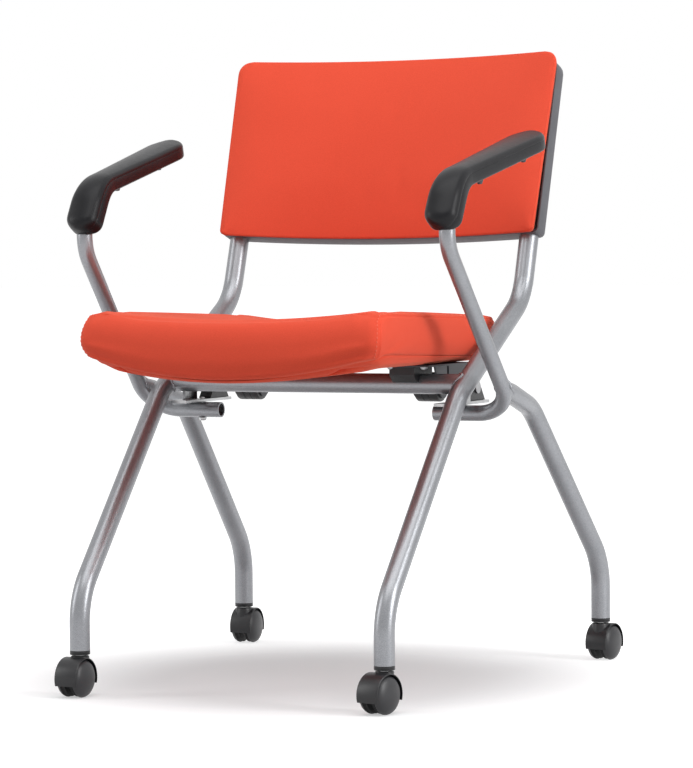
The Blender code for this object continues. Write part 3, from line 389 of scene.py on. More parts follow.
def line_mesh(name, points, **attributes):
    """A mesh of points joined in a row, with named values on the points."""
    mesh = bpy.data.meshes.new(name)
    mesh.from_pydata(points, [(i, i + 1) for i in range(len(points) - 1)], [])
    for label, values in attributes.items():
        store = mesh.attributes.new(label, "FLOAT", "POINT")
        store.data.foreach_set("value", values)
    return mesh


def spot_mesh(name, places, axes):
    """A mesh of loose points that each carry an axis."""
    mesh = bpy.data.meshes.new(name)
    mesh.from_pydata(places, [], [])
    store = mesh.attributes.new("axis", "FLOAT_VECTOR", "POINT")
    store.data.foreach_set("vector", [c for axis in axes for c in axis])
    return mesh


def bent_tube_tree():
    """Round tube along a row of corner points, each rounded by its own bend radius."""
    shape = ShapeTree("bent_tube", {"Tube radius": "Float", "Sides": "Int", "Bend steps": "Int"})
    line = shape.add("MeshToCurve", {"Mesh": shape.start["Geometry"]})
    path = shape.add("FilletCurve", {"Curve": line[0], "Count": shape.start["Bend steps"],
                                     "Radius": shape.carried("bend")}, mode="POLY")
    ring = shape.add("CurvePrimitiveCircle", {"Resolution": shape.start["Sides"],
                                              "Radius": shape.start["Tube radius"]})
    skin = shape.add("CurveToMesh", {"Curve": path[0], "Profile Curve": ring[0],
                                     "Scale": shape.carried("girth"), "Fill Caps": True})
    return shape.close(skin[0])


def lay_along(shape, bead, size):
    """Close a tree with copies of a small mesh laid along its line at its pitch."""
    line = shape.add("MeshToCurve", {"Mesh": shape.start["Geometry"]})
    spots = shape.add("CurveToPoints", {"Curve": line[0], "Length": shape.start["Pitch"]},
                      mode="LENGTH")
    along = shape.add("FunctionNodeAlignRotationToVector", {"Vector": spots["Tangent"]}, axis="X")
    laid = shape.add("InstanceOnPoints", {"Points": spots["Points"], "Instance": bead[0],
                                          "Rotation": along[0], "Scale": size[0]})
    return shape.close(laid[0])


def seam_stitch_tree():
    """Short rounded threads spaced along a line."""
    shape = ShapeTree("seam_stitches", {"Pitch": "Float", "Length": "Float", "Thickness": "Float"})
    thread = shape.add("MeshUVSphere", {"Segments": 8, "Rings": 6, "Radius": 0.5})
    size = shape.add("ShaderNodeCombineXYZ", {"X": shape.start["Length"], "Y": shape.start["Thickness"],
                                              "Z": shape.start["Thickness"]})
    return lay_along(shape, thread, size)


def weld_bead_tree():
    """Overlapping round scales of weld metal along a line."""
    shape = ShapeTree("weld_bead", {"Pitch": "Float", "Width": "Float"})
    scale = shape.add("MeshUVSphere", {"Segments": 12, "Rings": 8, "Radius": 0.5})
    vary = shape.add("FunctionNodeRandomValue", {"Min": 0.9, "Max": 1.1, "Seed": 4}, data_type="FLOAT")
    size = shape.add("ShaderNodeMath", {0: shape.start["Width"], 1: vary["Value"]}, operation="MULTIPLY")
    return lay_along(shape, scale, size)


def cross_screw_tree():
    """Pan head with a cross recess on each point, standing along the point's axis."""
    shape = ShapeTree("cross_screws", {"Diameter": "Float", "Height": "Float"})
    head = shape.add("MeshCylinder", {"Vertices": 28, "Side Segments": 5, "Radius": 0.5, "Depth": 1.0})
    place = shape.add("InputPosition")
    parts = shape.add("ShaderNodeSeparateXYZ", {0: place[0]})
    dome = shape.add("ShaderNodeMapRange", {"Value": parts["Z"], "From Min": -0.1, "From Max": 0.5,
                                            "To Min": 1.0, "To Max": 0.62}, interpolation_type="SMOOTHSTEP")
    flat = shape.add("ShaderNodeCombineXYZ", {"X": dome["Result"], "Y": dome["Result"], "Z": 1.0})
    domed = shape.add("ShaderNodeVectorMath", {0: place[0], 1: flat[0]}, operation="MULTIPLY")
    pan = shape.add("SetPosition", {"Geometry": head["Mesh"], "Position": domed[0]})
    size = shape.add("ShaderNodeCombineXYZ", {"X": shape.start["Diameter"], "Y": shape.start["Diameter"],
                                              "Z": shape.start["Height"]})
    half_up = (0.0, 0.0, 0.5)
    recess = add_node(shape.tree, "GeometryNodeMeshBoolean", {"Mesh 1": pan[0]}, operation="DIFFERENCE")
    for box in ((0.46, 0.10, 0.9), (0.10, 0.46, 0.9)):
        bar = shape.add("MeshCube", {"Size": box})
        slot = shape.add("Transform", {"Geometry": bar[0], "Translation": half_up})
        shape.tree.links.new(slot[0], recess.inputs["Mesh 2"])
    lifted = shape.add("Transform", {"Geometry": recess.outputs[0], "Translation": half_up})
    axis = shape.carried("axis", "FLOAT_VECTOR")
    stand = shape.add("FunctionNodeAlignRotationToVector", {"Vector": axis}, axis="Z")
    set_in = shape.add("InstanceOnPoints", {"Points": shape.start["Geometry"], "Instance": lifted[0],
                                            "Rotation": stand[0], "Scale": size[0]})
    return shape.close(set_in[0])


# Mesh blocks

def finish_mesh(name, bm, finishes, sharp=SMOOTH_ANGLE):
    """An object from a bmesh, smooth apart from its sharp edges."""
    bmesh.ops.remove_doubles(bm, verts=bm.verts, dist=1e-6)
    bmesh.ops.recalc_face_normals(bm, faces=bm.faces)
    mesh = bpy.data.meshes.new(name)
    bm.to_mesh(mesh)
    bm.free()
    for finish in finishes:
        mesh.materials.append(finish)
    shade(mesh, sharp)
    item = bpy.data.objects.new(name, mesh)
    bpy.context.scene.collection.objects.link(item)
    return item


def shade(mesh, sharp=SMOOTH_ANGLE):
    mesh.shade_smooth()
    mesh.set_sharp_from_angle(angle=sharp)


def seat_on(item, body, slot, *replaced):
    """Hang a piece on its CAD body and hide the nodes it stands for; the slot argument is not used."""
    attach(item, body)
    if replaced:
        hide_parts(*replaced)
    return item


def skin_rings(bm, rings):
    """Faces between closed rings of points, capped at both ends."""
    rows = [[bm.verts.new(point) for point in ring] for ring in rings]
    count = len(rows[0])
    for row, after in zip(rows, rows[1:]):
        for i in range(count):
            j = (i + 1) % count
            bm.faces.new((row[i], row[j], after[j], after[i]))
    bm.faces.new(rows[0])
    bm.faces.new(rows[-1])


def turn_profile(bm, profile, place, axis, sides=TURN_SIDES):
    """Turn (radius, height) points about an axis; the profile starts and ends on it or closes on itself."""
    side = axis.orthogonal().normalized()
    lift = axis.cross(side)
    made = len(bm.faces)
    rows = []
    for radius, height in profile:
        centre = place + axis * height
        if radius == 0.0:
            rows.append([bm.verts.new(centre)])
            continue
        steps = [2 * math.pi * i / sides for i in range(sides)]
        rows.append([bm.verts.new(centre + (side * math.cos(a) + lift * math.sin(a)) * radius) for a in steps])
    pairs = list(zip(rows, rows[1:]))
    if profile[0][0] > 0.0:
        pairs.append((rows[-1], rows[0]))
    for row, after in pairs:
        for i in range(sides):
            j = (i + 1) % sides
            loop = [row[i % len(row)], row[j % len(row)], after[j % len(after)], after[i % len(after)]]
            bm.faces.new(list(dict.fromkeys(loop)))
    bm.faces.ensure_lookup_table()
    return bm.faces[made:]


def grid_block(columns, rows, top, bottom, belts=()):
    """Closed mesh between an upper and a lower grid, with loops of points round its sides."""
    bm = bmesh.new()
    across, along = range(len(columns)), range(len(rows))
    upper = [[bm.verts.new(top(u, v)) for v in rows] for u in columns]
    lower = [[bm.verts.new(bottom(u, v)) for v in rows] for u in columns]
    for i in across[:-1]:
        for j in along[:-1]:
            bm.faces.new((upper[i][j], upper[i + 1][j], upper[i + 1][j + 1], upper[i][j + 1]))
            bm.faces.new((lower[i][j], lower[i][j + 1], lower[i + 1][j + 1], lower[i + 1][j]))
    edge = [(i, 0) for i in across] + [(across[-1], j) for j in along[1:]]
    edge += [(i, along[-1]) for i in reversed(across[:-1])] + [(0, j) for j in reversed(along[1:-1])]
    loops = [[upper[i][j] for i, j in edge]]
    loops += [[bm.verts.new(belt(columns[i], rows[j])) for i, j in edge] for belt in belts]
    loops.append([lower[i][j] for i, j in edge])
    for loop, after in zip(loops, loops[1:]):
        for k in range(len(edge)):
            n = (k + 1) % len(edge)
            bm.faces.new((loop[k], loop[n], after[n], after[k]))
    return bm


def edge_spaced(count, low, even=0.0):
    """Values from low to 1 that crowd towards both ends, less so with a higher even share."""
    steps = [i / (count - 1) for i in range(count)]
    return [low + (1.0 - low) * ((1 - even) * (1 - math.cos(math.pi * step)) / 2 + even * step) for step in steps]


def grid_lines(across, along, even=0.0):
    """Lines of a panel's grid: from -1 to 1 across it and from 0 to 1 along it."""
    return edge_spaced(across, -1.0, even), edge_spaced(along, 0.0, even)


def eased(value, low, high):
    """Smooth rise from 0 at low to 1 at high."""
    share = min(1.0, max(0.0, (value - low) / (high - low)))
    return share * share * (3 - 2 * share)


def mirrored(point, side):
    return Vector((point[0] * side, point[1], point[2]))


def quarter_round(radius, steps, first, last):
    """Some of the steps round an edge, each as its two distances from the faces that meet there."""
    angles = [math.pi / 2 * step / steps for step in range(first, last + 1)]
    return [(radius * (1 - math.sin(a)), radius * (1 - math.cos(a))) for a in angles]


def near_tree(points):
    """Search tree for the nearest of some points."""
    near = KDTree(len(points))
    for i, point in enumerate(points):
        near.insert(point, i)
    near.balance()
    return near


# Finishes

class ShaderTree:
    """A tree of shader nodes; adding a node gives its outputs."""

    def __init__(self, owner):
        owner.use_nodes = True
        self.tree = owner.node_tree

    def add(self, kind, inputs=None, **settings):
        return add_node(self.tree, "ShaderNode" + kind, inputs, **settings).outputs

    def math(self, operation, first, second=0.0):
        return self.add("Math", {0: first, 1: second}, operation=operation)[0]

    def spread(self, share, low, high):
        """A value from 0 to 1 mapped between two limits."""
        return self.add("MapRange", {"Value": share, "To Min": low, "To Max": high})["Result"]


class Finish(ShaderTree):
    """A material being mixed from nodes that read the piece's own coordinates."""

    def __init__(self, name, roughness, metallic=0.0):
        self.material = bpy.data.materials.new(name)
        super().__init__(self.material)
        self.inputs = self.tree.nodes["Principled BSDF"].inputs
        self.inputs["Roughness"].default_value = roughness
        self.inputs["Metallic"].default_value = metallic
        self.place = self.add("TexCoord")["Object"]

    def weighed(self, *pairs):
        """Sum of values, each times its weight."""
        parts = [self.math("MULTIPLY", value, weight) for value, weight in pairs]
        total = parts[0]
        for part in parts[1:]:
            total = self.math("ADD", total, part)
        return total

    def noise(self, scale, detail=3.0, place=None):
        return self.add("TexNoise", {"Vector": self.place if place is None else place, "Scale": scale,
                                     "Detail": detail, "Roughness": 0.55})["Fac"]

    def chips(self, scale):
        """A random value for each cell of a fine pattern."""
        cells = self.add("TexVoronoi", {"Vector": self.place, "Scale": scale})["Color"]
        return self.add("SeparateColor", {"Color": cells})["Red"]

    def two_tone(self, share, dark, light, low=0.3, high=0.7):
        """Colour between two tones by a value from 0 to 1."""
        ramp = add_node(self.tree, "ShaderNodeValToRGB", {"Fac": share})
        for i, (place, tone) in enumerate(((low, dark), (high, light))):
            ramp.color_ramp.elements[i].position = place
            ramp.color_ramp.elements[i].color = (*tone, 1.0)
        return ramp.outputs["Color"]

    def dent(self, height, strength, distance):
        return self.add("Bump", {"Height": height, "Strength": strength, "Distance": distance})["Normal"]

    def close(self, values):
        """Set the shader's inputs, each to a value or a node's output."""
        for label, value in values.items():
            if isinstance(value, bpy.types.NodeSocket):
                self.tree.links.new(value, self.inputs[label])
            else:
                self.inputs[label].default_value = value
        return self.material


def red_fabric():
    """Orange-red upholstery: fine even weave, faint melange and a soft sheen."""
    look = Finish("red_fabric", 0.82)
    x, y, z = look.add("SeparateXYZ", {0: look.place})
    thread = 2 * math.pi / WEAVE_PITCH
    warp = look.math("SINE", look.math("MULTIPLY", look.math("ADD", x, z), thread))
    weft = look.math("SINE", look.math("MULTIPLY", look.math("SUBTRACT", y, z), thread))
    weave = look.spread(look.math("MULTIPLY", warp, weft), 0.3, 0.7)
    fuzz = look.noise(900.0, 2.0)
    mixed = look.weighed((weave, 0.42), (fuzz, 0.48), (look.noise(9.0), 0.10))
    grain = look.math("ADD", weave, look.math("MULTIPLY", fuzz, 0.6))
    return look.close({"Base Color": look.two_tone(mixed, (0.75, 0.068, 0.030), (0.89, 0.098, 0.049)),
                       "Roughness": look.spread(fuzz, 0.72, 0.90), "Normal": look.dent(grain, 0.22, 0.0005),
                       "Sheen Weight": 0.30, "Sheen Roughness": 0.45, "Sheen Tint": (1.0, 0.42, 0.28, 1.0),
                       "Specular IOR Level": 0.25})


def stitch_thread():
    look = Finish("stitch_thread", 0.7)
    twist = look.add("TexWave", {"Vector": look.place, "Scale": 900.0, "Distortion": 2.0})["Fac"]
    return look.close({"Base Color": look.two_tone(twist, (0.80, 0.10, 0.05), (0.95, 0.26, 0.16), 0.1, 0.9),
                       "Normal": look.dent(twist, 0.4, 0.0002)})


def silver_paint():
    """Silver powder coat: fine metal flake under a satin orange-peel skin."""
    look = Finish("silver_paint", 0.34, 0.64)
    cloud = look.noise(14.0)
    mixed = look.weighed((look.chips(1800.0), 0.5), (cloud, 0.5))
    return look.close({"Base Color": look.two_tone(mixed, (0.238, 0.244, 0.260), (0.318, 0.326, 0.344)),
                       "Roughness": look.spread(cloud, 0.29, 0.39),
                       "Normal": look.dent(look.noise(520.0, 2.0), 0.06, 0.0004),
                       "Coat Weight": 0.06, "Coat Roughness": 0.20})


def moulded_plastic(name, dark, light, roughness, grain_scale, grain, gloss=0.45):
    """Moulded plastic with a fine spark-eroded grain and slight shade changes."""
    look = Finish(name, roughness)
    cells = look.add("TexVoronoi", {"Vector": look.place, "Scale": grain_scale})["Distance"]
    height = look.math("ADD", cells, look.noise(grain_scale * 2.0, 2.0))
    return look.close({"Base Color": look.two_tone(look.noise(22.0), dark, light),
                       "Roughness": look.spread(look.noise(160.0), roughness - 0.06, roughness + 0.06),
                       "Normal": look.dent(height, grain, 0.0003), "Specular IOR Level": gloss})


def plated_metal(name, dark, light, roughness):
    """Plated steel with faint drawn streaks and blotches."""
    look = Finish(name, roughness, 1.0)
    stretch = look.add("Mapping", {"Vector": look.place, "Scale": (260.0, 26.0, 260.0)})[0]
    streak = look.noise(1.0, 4.0, stretch)
    mixed = look.weighed((streak, 0.5), (look.noise(60.0), 0.5))
    return look.close({"Base Color": look.two_tone(mixed, dark, light),
                       "Roughness": look.spread(mixed, roughness - 0.10, roughness + 0.12),
                       "Normal": look.dent(streak, 0.08, 0.0003)})


def pressed_board():
    look = Finish("pressed_board", 0.85)
    tones = look.two_tone(look.chips(240.0), (0.035, 0.030, 0.026), (0.085, 0.074, 0.062))
    return look.close({"Base Color": tones, "Normal": look.dent(look.noise(500.0), 0.3, 0.0004)})


FABRIC = red_fabric()
THREAD = stitch_thread()
PAINT = silver_paint()
SOFT_BLACK = moulded_plastic("arm_pad_skin", (0.0065, 0.0065, 0.008), (0.010, 0.010, 0.012), 0.36, 1100.0, 0.12,
                             0.19)
BLACK = moulded_plastic("black_plastic", (0.008, 0.008, 0.0095), (0.013, 0.013, 0.015), 0.38, 1500.0, 0.12)
WHEEL_COVER = moulded_plastic("wheel_cover", (0.020, 0.020, 0.0225), (0.030, 0.030, 0.033), 0.40, 1300.0, 0.10)
TREAD = moulded_plastic("wheel_tread", (0.006, 0.006, 0.007), (0.011, 0.011, 0.012), 0.58, 1300.0, 0.2)
SHELL = moulded_plastic("back_shell_grey", (0.085, 0.085, 0.096), (0.115, 0.115, 0.128), 0.52, 1200.0, 0.2)
ZINC = plated_metal("zinc_plate", (0.36, 0.365, 0.37), (0.58, 0.585, 0.59), 0.28)
STEEL = plated_metal("bright_steel", (0.30, 0.30, 0.31), (0.46, 0.46, 0.47), 0.32)
# Plated steel darkened as painted shade, for metal that sits in the shade under the seat and under the arm pads
STEEL_IN_PAINTED_SHADE = plated_metal("steel_in_painted_shade", (0.045, 0.046, 0.050), (0.085, 0.086, 0.092), 0.42)
BOARD = pressed_board()


# Tube frame

bent_tube = bent_tube_tree()
weld_bead = weld_bead_tree()


def foot_of(corner):
    swivel = joints[corner + "_swivel"]["pos_m"]
    return Vector((abs(swivel[0]), swivel[1], LEG_END))


def make_tube(name, corners, bends, radius, side, girths=None):
    points = [mirrored(corner, side) for corner in corners]
    bends = [0.0] + bends + [0.0]
    line = line_mesh(name, points, bend=bends, girth=girths or [1.0] * len(points))
    item = bent_tube.grow(name, line, {"Tube radius": radius, "Sides": TUBE_SIDES, "Bend steps": BEND_STEPS,
                                       "Finish": PAINT})
    shade(item.data)
    return item


def bore_end(item, end, axis, depth):
    """Open the capped end of a tube into a bore."""
    bm = bmesh.new()
    bm.from_mesh(item.data)
    cap = min(bm.faces, key=lambda face: (face.calc_center_median() - end).length)
    bmesh.ops.inset_region(bm, faces=[cap], thickness=TUBE_WALL, use_even_offset=True)
    inner = bmesh.ops.extrude_face_region(bm, geom=[cap])["geom"]
    verts = [v for v in inner if isinstance(v, bmesh.types.BMVert)]
    bmesh.ops.translate(bm, vec=axis * depth, verts=verts)
    bmesh.ops.delete(bm, geom=[cap], context="FACES_ONLY")
    bm.to_mesh(item.data)
    bm.free()
    shade(item.data)


def tube_joint(place, axis, radius, other_place, other_axis, other_radius, count=WELD_STEPS):
    """Line where a tube's wall, followed along its axis, meets the wall of another tube."""
    axis, other_axis = axis.normalized(), other_axis.normalized()
    side = axis.orthogonal().normalized()
    lift = axis.cross(side)
    loop = []
    for i in range(count + 1):
        a = 2 * math.pi * i / count
        start = place + (side * math.cos(a) + lift * math.sin(a)) * radius
        reach = start - other_place
        flat_reach = reach - other_axis * reach.dot(other_axis)
        flat_axis = axis - other_axis * axis.dot(other_axis)
        half = flat_axis.dot(flat_reach)
        room = half ** 2 - flat_axis.length_squared * (flat_reach.length_squared - other_radius ** 2)
        step = (-half - math.sqrt(max(room, 0.0))) / flat_axis.length_squared
        loop.append(start + axis * step)
    return loop


def make_weld(name, loop):
    bead = weld_bead.grow(name, line_mesh(name, loop), {"Pitch": WELD_PITCH, "Width": WELD_WIDTH, "Finish": PAINT})
    bead.data.shade_smooth()
    seat_on(bead, "frame", "silver_paint")


def make_side_frame(side_name, side):
    """Main tube, rear leg and arm tube of one side, and the weld between the last two."""
    front = foot_of("front_left")
    back_up = UPRIGHT_FOOT + BACK_UP * UPRIGHT_LENGTH
    main = make_tube("main_tube_%s_round" % side_name,
                     [front, front + UP * FRONT_FOOT, KINK, UPRIGHT_FOOT, back_up],
                     [FOOT_BEND, KINK_BEND, UPRIGHT_BEND], LEG_RADIUS, side)
    seat_on(main, "frame", "silver_paint", "main_tube_" + side_name)

    slope = (ARM_POST - HOOK).normalized()
    meeting = HOOK + slope * HOOK_BEND
    rear = foot_of("rear_left")
    run = (meeting - REAR_BEND).normalized()
    corners = [rear, rear + UP * REAR_FOOT, REAR_BEND, meeting - run * REAR_TIP_LENGTH, meeting]
    leg = make_tube("rear_leg_%s_round" % side_name, corners, [FOOT_BEND, REAR_LEG_BEND, 0.0], LEG_RADIUS, side,
                    [1.0, 1.0, 1.0, 1.0, REAR_TIP_GIRTH])
    seat_on(leg, "frame", "silver_paint", "rear_leg_" + side_name)

    stub = Vector((STUB_END, HOOK.y, HOOK.z))
    arm = make_tube("arm_tube_%s_round" % side_name, [ARM_POST + UP * ARM_POST_LENGTH, ARM_POST, HOOK, stub],
                    [ARM_POST_BEND, HOOK_BEND], ARM_RADIUS, side)
    bore_end(arm, mirrored(stub, side), SIDEWAYS * side, STUB_DEPTH)
    seat_on(arm, "frame", "silver_paint", "arm_tube_" + side_name)

    tip_radius = LEG_RADIUS * REAR_TIP_GIRTH * WELD_INSIDE
    loop = tube_joint(meeting - run * REAR_TIP_LENGTH, run, tip_radius, meeting, slope, ARM_RADIUS)
    make_weld("rear_leg_weld_" + side_name, [mirrored(p, side) for p in loop])


def make_crossbar():
    low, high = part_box("crossbar")
    centre = (low + high) / 2
    reach = Vector((KINK.x, 0.0, 0.0))
    bar = make_tube("crossbar_round", [centre - reach, centre, centre + reach], [0.0], LEG_RADIUS, 1.0)
    seat_on(bar, "frame", "silver_paint", "crossbar")
    slope = (UPRIGHT_FOOT - KINK).normalized()
    on_tube = KINK + slope * (centre.y - KINK.y) / slope.y
    for side_name, side in SIDES.items():
        loop = tube_joint(centre, SIDEWAYS, LEG_RADIUS * WELD_INSIDE, on_tube, slope, LEG_RADIUS)
        make_weld("crossbar_weld_" + side_name, [mirrored(p, side) for p in loop])


# Arm pads

def pad_section(width, thick, top_round):
    """Rounded section of an arm pad, as (side, lift) pairs: crowned top, parting line below its edge."""
    top_round = min(top_round, thick * 0.9, width * 0.9)
    low_round = min(PAD_LOW_ROUND, thick * 0.9, width * 0.9)
    line = thick - top_round - 2 * PAD_PARTING

    def corner(side, lift, radius, first):
        angles = [math.radians(first + 90.0 * step / 6) for step in range(7)]
        return [(side + radius * math.cos(a), lift + radius * math.sin(a)) for a in angles]

    parting = [(width, line - PAD_PARTING), (width - PAD_PARTING, line), (width, line + PAD_PARTING)]
    top = [(share * (width - top_round), thick) for share in (0.75, 0.5, 0.25, 0.0, -0.25, -0.5, -0.75)]
    points = corner(width - low_round, low_round - thick, low_round, -90.0) + parting
    points += corner(width - top_round, thick - top_round, top_round, 0.0) + top
    points += corner(top_round - width, thick - top_round, top_round, 90.0)
    points += [(-side, lift) for side, lift in reversed(parting)]
    points += corner(low_round - width, low_round - thick, low_round, 180.0)
    return [(s, l + PAD_CROWN * max(0.0, l / thick) * (1 - (s / width) ** 2)) for s, l in points]


def pad_line():
    """Centre line of the left arm pad: points with their share along the bend from lobe to slim part."""
    low = Vector((ARM_POST.x, ARM_POST.y - PAD_LOBE_FORWARD, PAD_CORNER.z - PAD_LOBE_DROP))
    run = Vector((PAD_TOE_OUT / PAD_LENGTH, math.cos(PAD_TILT), math.sin(PAD_TILT))).normalized()
    arrive = (PAD_CORNER - low).normalized()
    turn = arrive.angle(run)
    inward = (run - arrive * arrive.dot(run)).normalized()
    start = PAD_CORNER - arrive * PAD_BEND * math.tan(turn / 2)
    centre = start + inward * PAD_BEND
    steps = PAD_BEND_STEPS
    stations = [(low.lerp(start, (i / steps) ** 2), 0.0) for i in range(steps)]
    for i in range(steps + 1):
        a = turn * i / steps
        stations.append((centre - inward * PAD_BEND * math.cos(a) + arrive * PAD_BEND * math.sin(a), i / steps))
    leave = stations[-1][0]
    tail = PAD_CORNER + run * PAD_LENGTH
    steps, last = PAD_RUN_STEPS, PAD_END_STEPS
    stations += [(leave.lerp(tail, i / steps), 1.0 + i / steps) for i in range(1, steps)]
    stations += [(leave.lerp(tail, 1 - (1 - i / last) ** 2 / steps), 2.0) for i in range(1, last + 1)]
    return stations


def end_share(distance, end):
    """Share of the full size at a distance from an end that is rounded over a reach to a least share."""
    reach, least = end
    return least + (1 - least) * math.sqrt(1 - max(0.0, 1 - distance / reach) ** 2)


def make_arm_pad(side_name, side):
    stations = pad_line()
    points = []
    for point, share in stations:
        points.append(point - SIDEWAYS * PAD_INWARD + UP * PAD_TAIL_RISE * max(0.0, share - 1.0))
    lengths = [0.0]
    for before, after in zip(points, points[1:]):
        lengths.append(lengths[-1] + (after - before).length)
    total = lengths[-1]
    rings = []
    for i, (point, (_, share)) in enumerate(zip(points, stations)):
        along = (points[min(i + 1, len(points) - 1)] - points[max(i - 1, 0)]).normalized()
        lift = SIDEWAYS.cross(along).normalized()
        across = along.cross(lift)
        ease, late = eased(share, 0.0, PAD_EASE_END), max(0.0, share - 1.0)
        half = [lobe + (slim - lobe) * ease + (tail - slim) * late
                for lobe, slim, tail in zip(PAD_LOBE, PAD_SLIM, PAD_TAIL)]
        start, end = lengths[i], total - lengths[i]
        width = half[0] * end_share(start, PAD_LOBE_WIDTH_END) * end_share(end, PAD_TAIL_WIDTH_END)
        thick = half[1] * end_share(start, PAD_LOBE_THICK_END) * end_share(end, PAD_TAIL_THICK_END)
        soft = PAD_TOP_ROUND[0] + (PAD_TOP_ROUND[1] - PAD_TOP_ROUND[0]) * ease
        rings.append([mirrored(point + across * s + lift * l, side) for s, l in pad_section(width, thick, soft)])
    bm = bmesh.new()
    skin_rings(bm, rings)
    pad = finish_mesh("arm_pad_%s_moulded" % side_name, bm, [SOFT_BLACK], PAD_SMOOTH_ANGLE)
    seat_on(pad, "frame", "soft_black", "arm_pad_" + side_name)


# Seat

def seat_half_width(t, front_corner=SEAT_FRONT_CORNER, crease=SEAT_CORNER_CREASE):
    """Half width of the seat at a share t of its depth; the front corner's arc meets the side in a crease."""
    half = (SEAT_FRONT_WIDTH + (SEAT_REAR_WIDTH - SEAT_FRONT_WIDTH) * t) / 2
    for distance, radius, slack in ((t * SEAT_DEPTH, front_corner, crease),
                                    ((1 - t) * SEAT_DEPTH, SEAT_REAR_CORNER, 0.0)):
        if distance < radius:
            half -= max(0.0, radius - math.sqrt(max(0.0, radius ** 2 - (radius - distance) ** 2)) - slack)
    return half


def seat_spot(f, t, height, inset=0.0, front_corner=SEAT_FRONT_CORNER, crease=SEAT_CORNER_CREASE, back=0.0):
    """Point of the seat at width share f and depth share t, pulled in all round, and back at the front."""
    bow = SEAT_FRONT_BOW * (1 - t) * f * f
    y = SEAT_FRONT + inset + (SEAT_DEPTH - 2 * inset) * t + bow + back * (1 - t)
    return Vector((f * (seat_half_width(t, front_corner, crease) - inset), y, height))


def lip_dip(f, t):
    """How far the front lip hangs, as a share: full at the front centre, none at the corners."""
    reach = max(0.0, 1 - t * SEAT_DEPTH / SEAT_LIP_LENGTH)
    aside = f * seat_half_width(t) / (SEAT_FRONT_WIDTH / 2)
    return max(0.0, 1 - aside * aside) * reach * reach * (3 - 2 * reach)


def nose_tuck(t):
    """How far the cushion's lower edge is pulled in: most at the front nose."""
    return SEAT_BULGE + SEAT_NOSE * max(0.0, 1 - t * SEAT_DEPTH / SEAT_NOSE_LENGTH) ** 2


def seat_seam(f, t):
    """Height of the seam between base and cushion."""
    flat = SEAT_UNDERSIDE + SEAT_BASE_THICKNESS + SEAT_BASE_RISE * f * f
    fall = min(SIDE_PANEL_FALL_LENGTH, max(0.0, t - SIDE_PANEL_FALL_START))
    beside = SIDE_PANEL_LIFT * eased(t, CORNER_SEAM_T, SIDE_PANEL_LIFT_END) - SIDE_PANEL_FALL * fall
    return flat - SEAT_SEAM_DROP * lip_dip(f, t) + beside * f ** SEAT_CORNER_POWER


def seat_top(f, t):
    """Height of the cushion's top: raised sides, dished middle, waterfall front, rounded edges."""
    crest = SEAT_UNDERSIDE + SEAT_BASE_THICKNESS + SEAT_CREST + SEAT_BASE_RISE - SEAT_CREST_FALL * t
    dish = SEAT_DISH * max(0.0, 1 - f ** 2)
    drop = 0.0
    depth, reach = [middle + (corner - middle) * f ** SEAT_CORNER_POWER
                    for middle, corner in zip(SEAT_FRONT_ROLL, SEAT_CORNER_ROLL)]
    for share, (depth, reach) in ((t, (depth, reach)), (1 - t, SEAT_REAR_ROLL), (1 - abs(f), SEAT_SIDE_ROLL)):
        drop += SEAT_CREST * depth * max(0.0, 1 - share / reach) ** SEAT_ROLL_POWER
    ahead = max(0.0, 1 - t / SEAT_FRONT_ROLL[1])
    return crest - dish * (1 - ahead / 2) - drop


def wall_inset(t, share):
    """How far the cushion's wall stands in from its widest line: rolled over at the front, flat on the side panels,
    with a bead along the lower seam of the front."""
    ahead = 1 - eased(t, CORNER_SEAM_T, SIDE_PANEL_FRONT)
    behind = 1 - eased(1 - t, 1 - SIDE_SEAM_END, SIDE_PANEL_REAR)
    flat = (1 - ahead) * (1 - behind)
    if share < SEAT_BELT:
        tuck = nose_tuck(t) + (SIDE_PANEL_TUCK[1] - nose_tuck(t)) * flat
        along = 1 - eased(t, 0.0, CORNER_SEAM_T / 2)
        bead = FRONT_BEAD * along * math.sin(math.pi * min(1.0, share / FRONT_BEAD_SHARE))
        return tuck * (1 - share / SEAT_BELT) ** 2 - bead
    rise = (share - SEAT_BELT) / (1 - SEAT_BELT)
    edge = SIDE_PANEL_EDGE * max(0.0, (share - SIDE_SEAM_SHARE) / (1 - SIDE_SEAM_SHARE)) ** SIDE_PANEL_POWER
    return (SEAT_ROLL_IN * ahead * rolled(share) + SEAT_BULGE * behind * rise ** 2
            + (SIDE_PANEL_TUCK[0] * rise ** 2 + edge) * flat)


def rolled(share):
    """Quarter round from 0 at the widest line to 1 at the cushion's top."""
    return 1 - math.sqrt(1 - min(1.0, max(0.0, (share - SEAT_BELT) / (1 - SEAT_BELT))) ** 2)


def seat_side(f, t, share, grow=0.0):
    """Point on the cushion's wall, from its seam at share 0 to its top edge at share 1."""
    low, high = seat_seam(f, t), seat_top(f, t)
    back = (SEAT_ROLL_BACK - SEAT_ROLL_IN) * rolled(share)
    return seat_spot(f, t, low + share * (high - low), wall_inset(t, share) - grow, back=back)


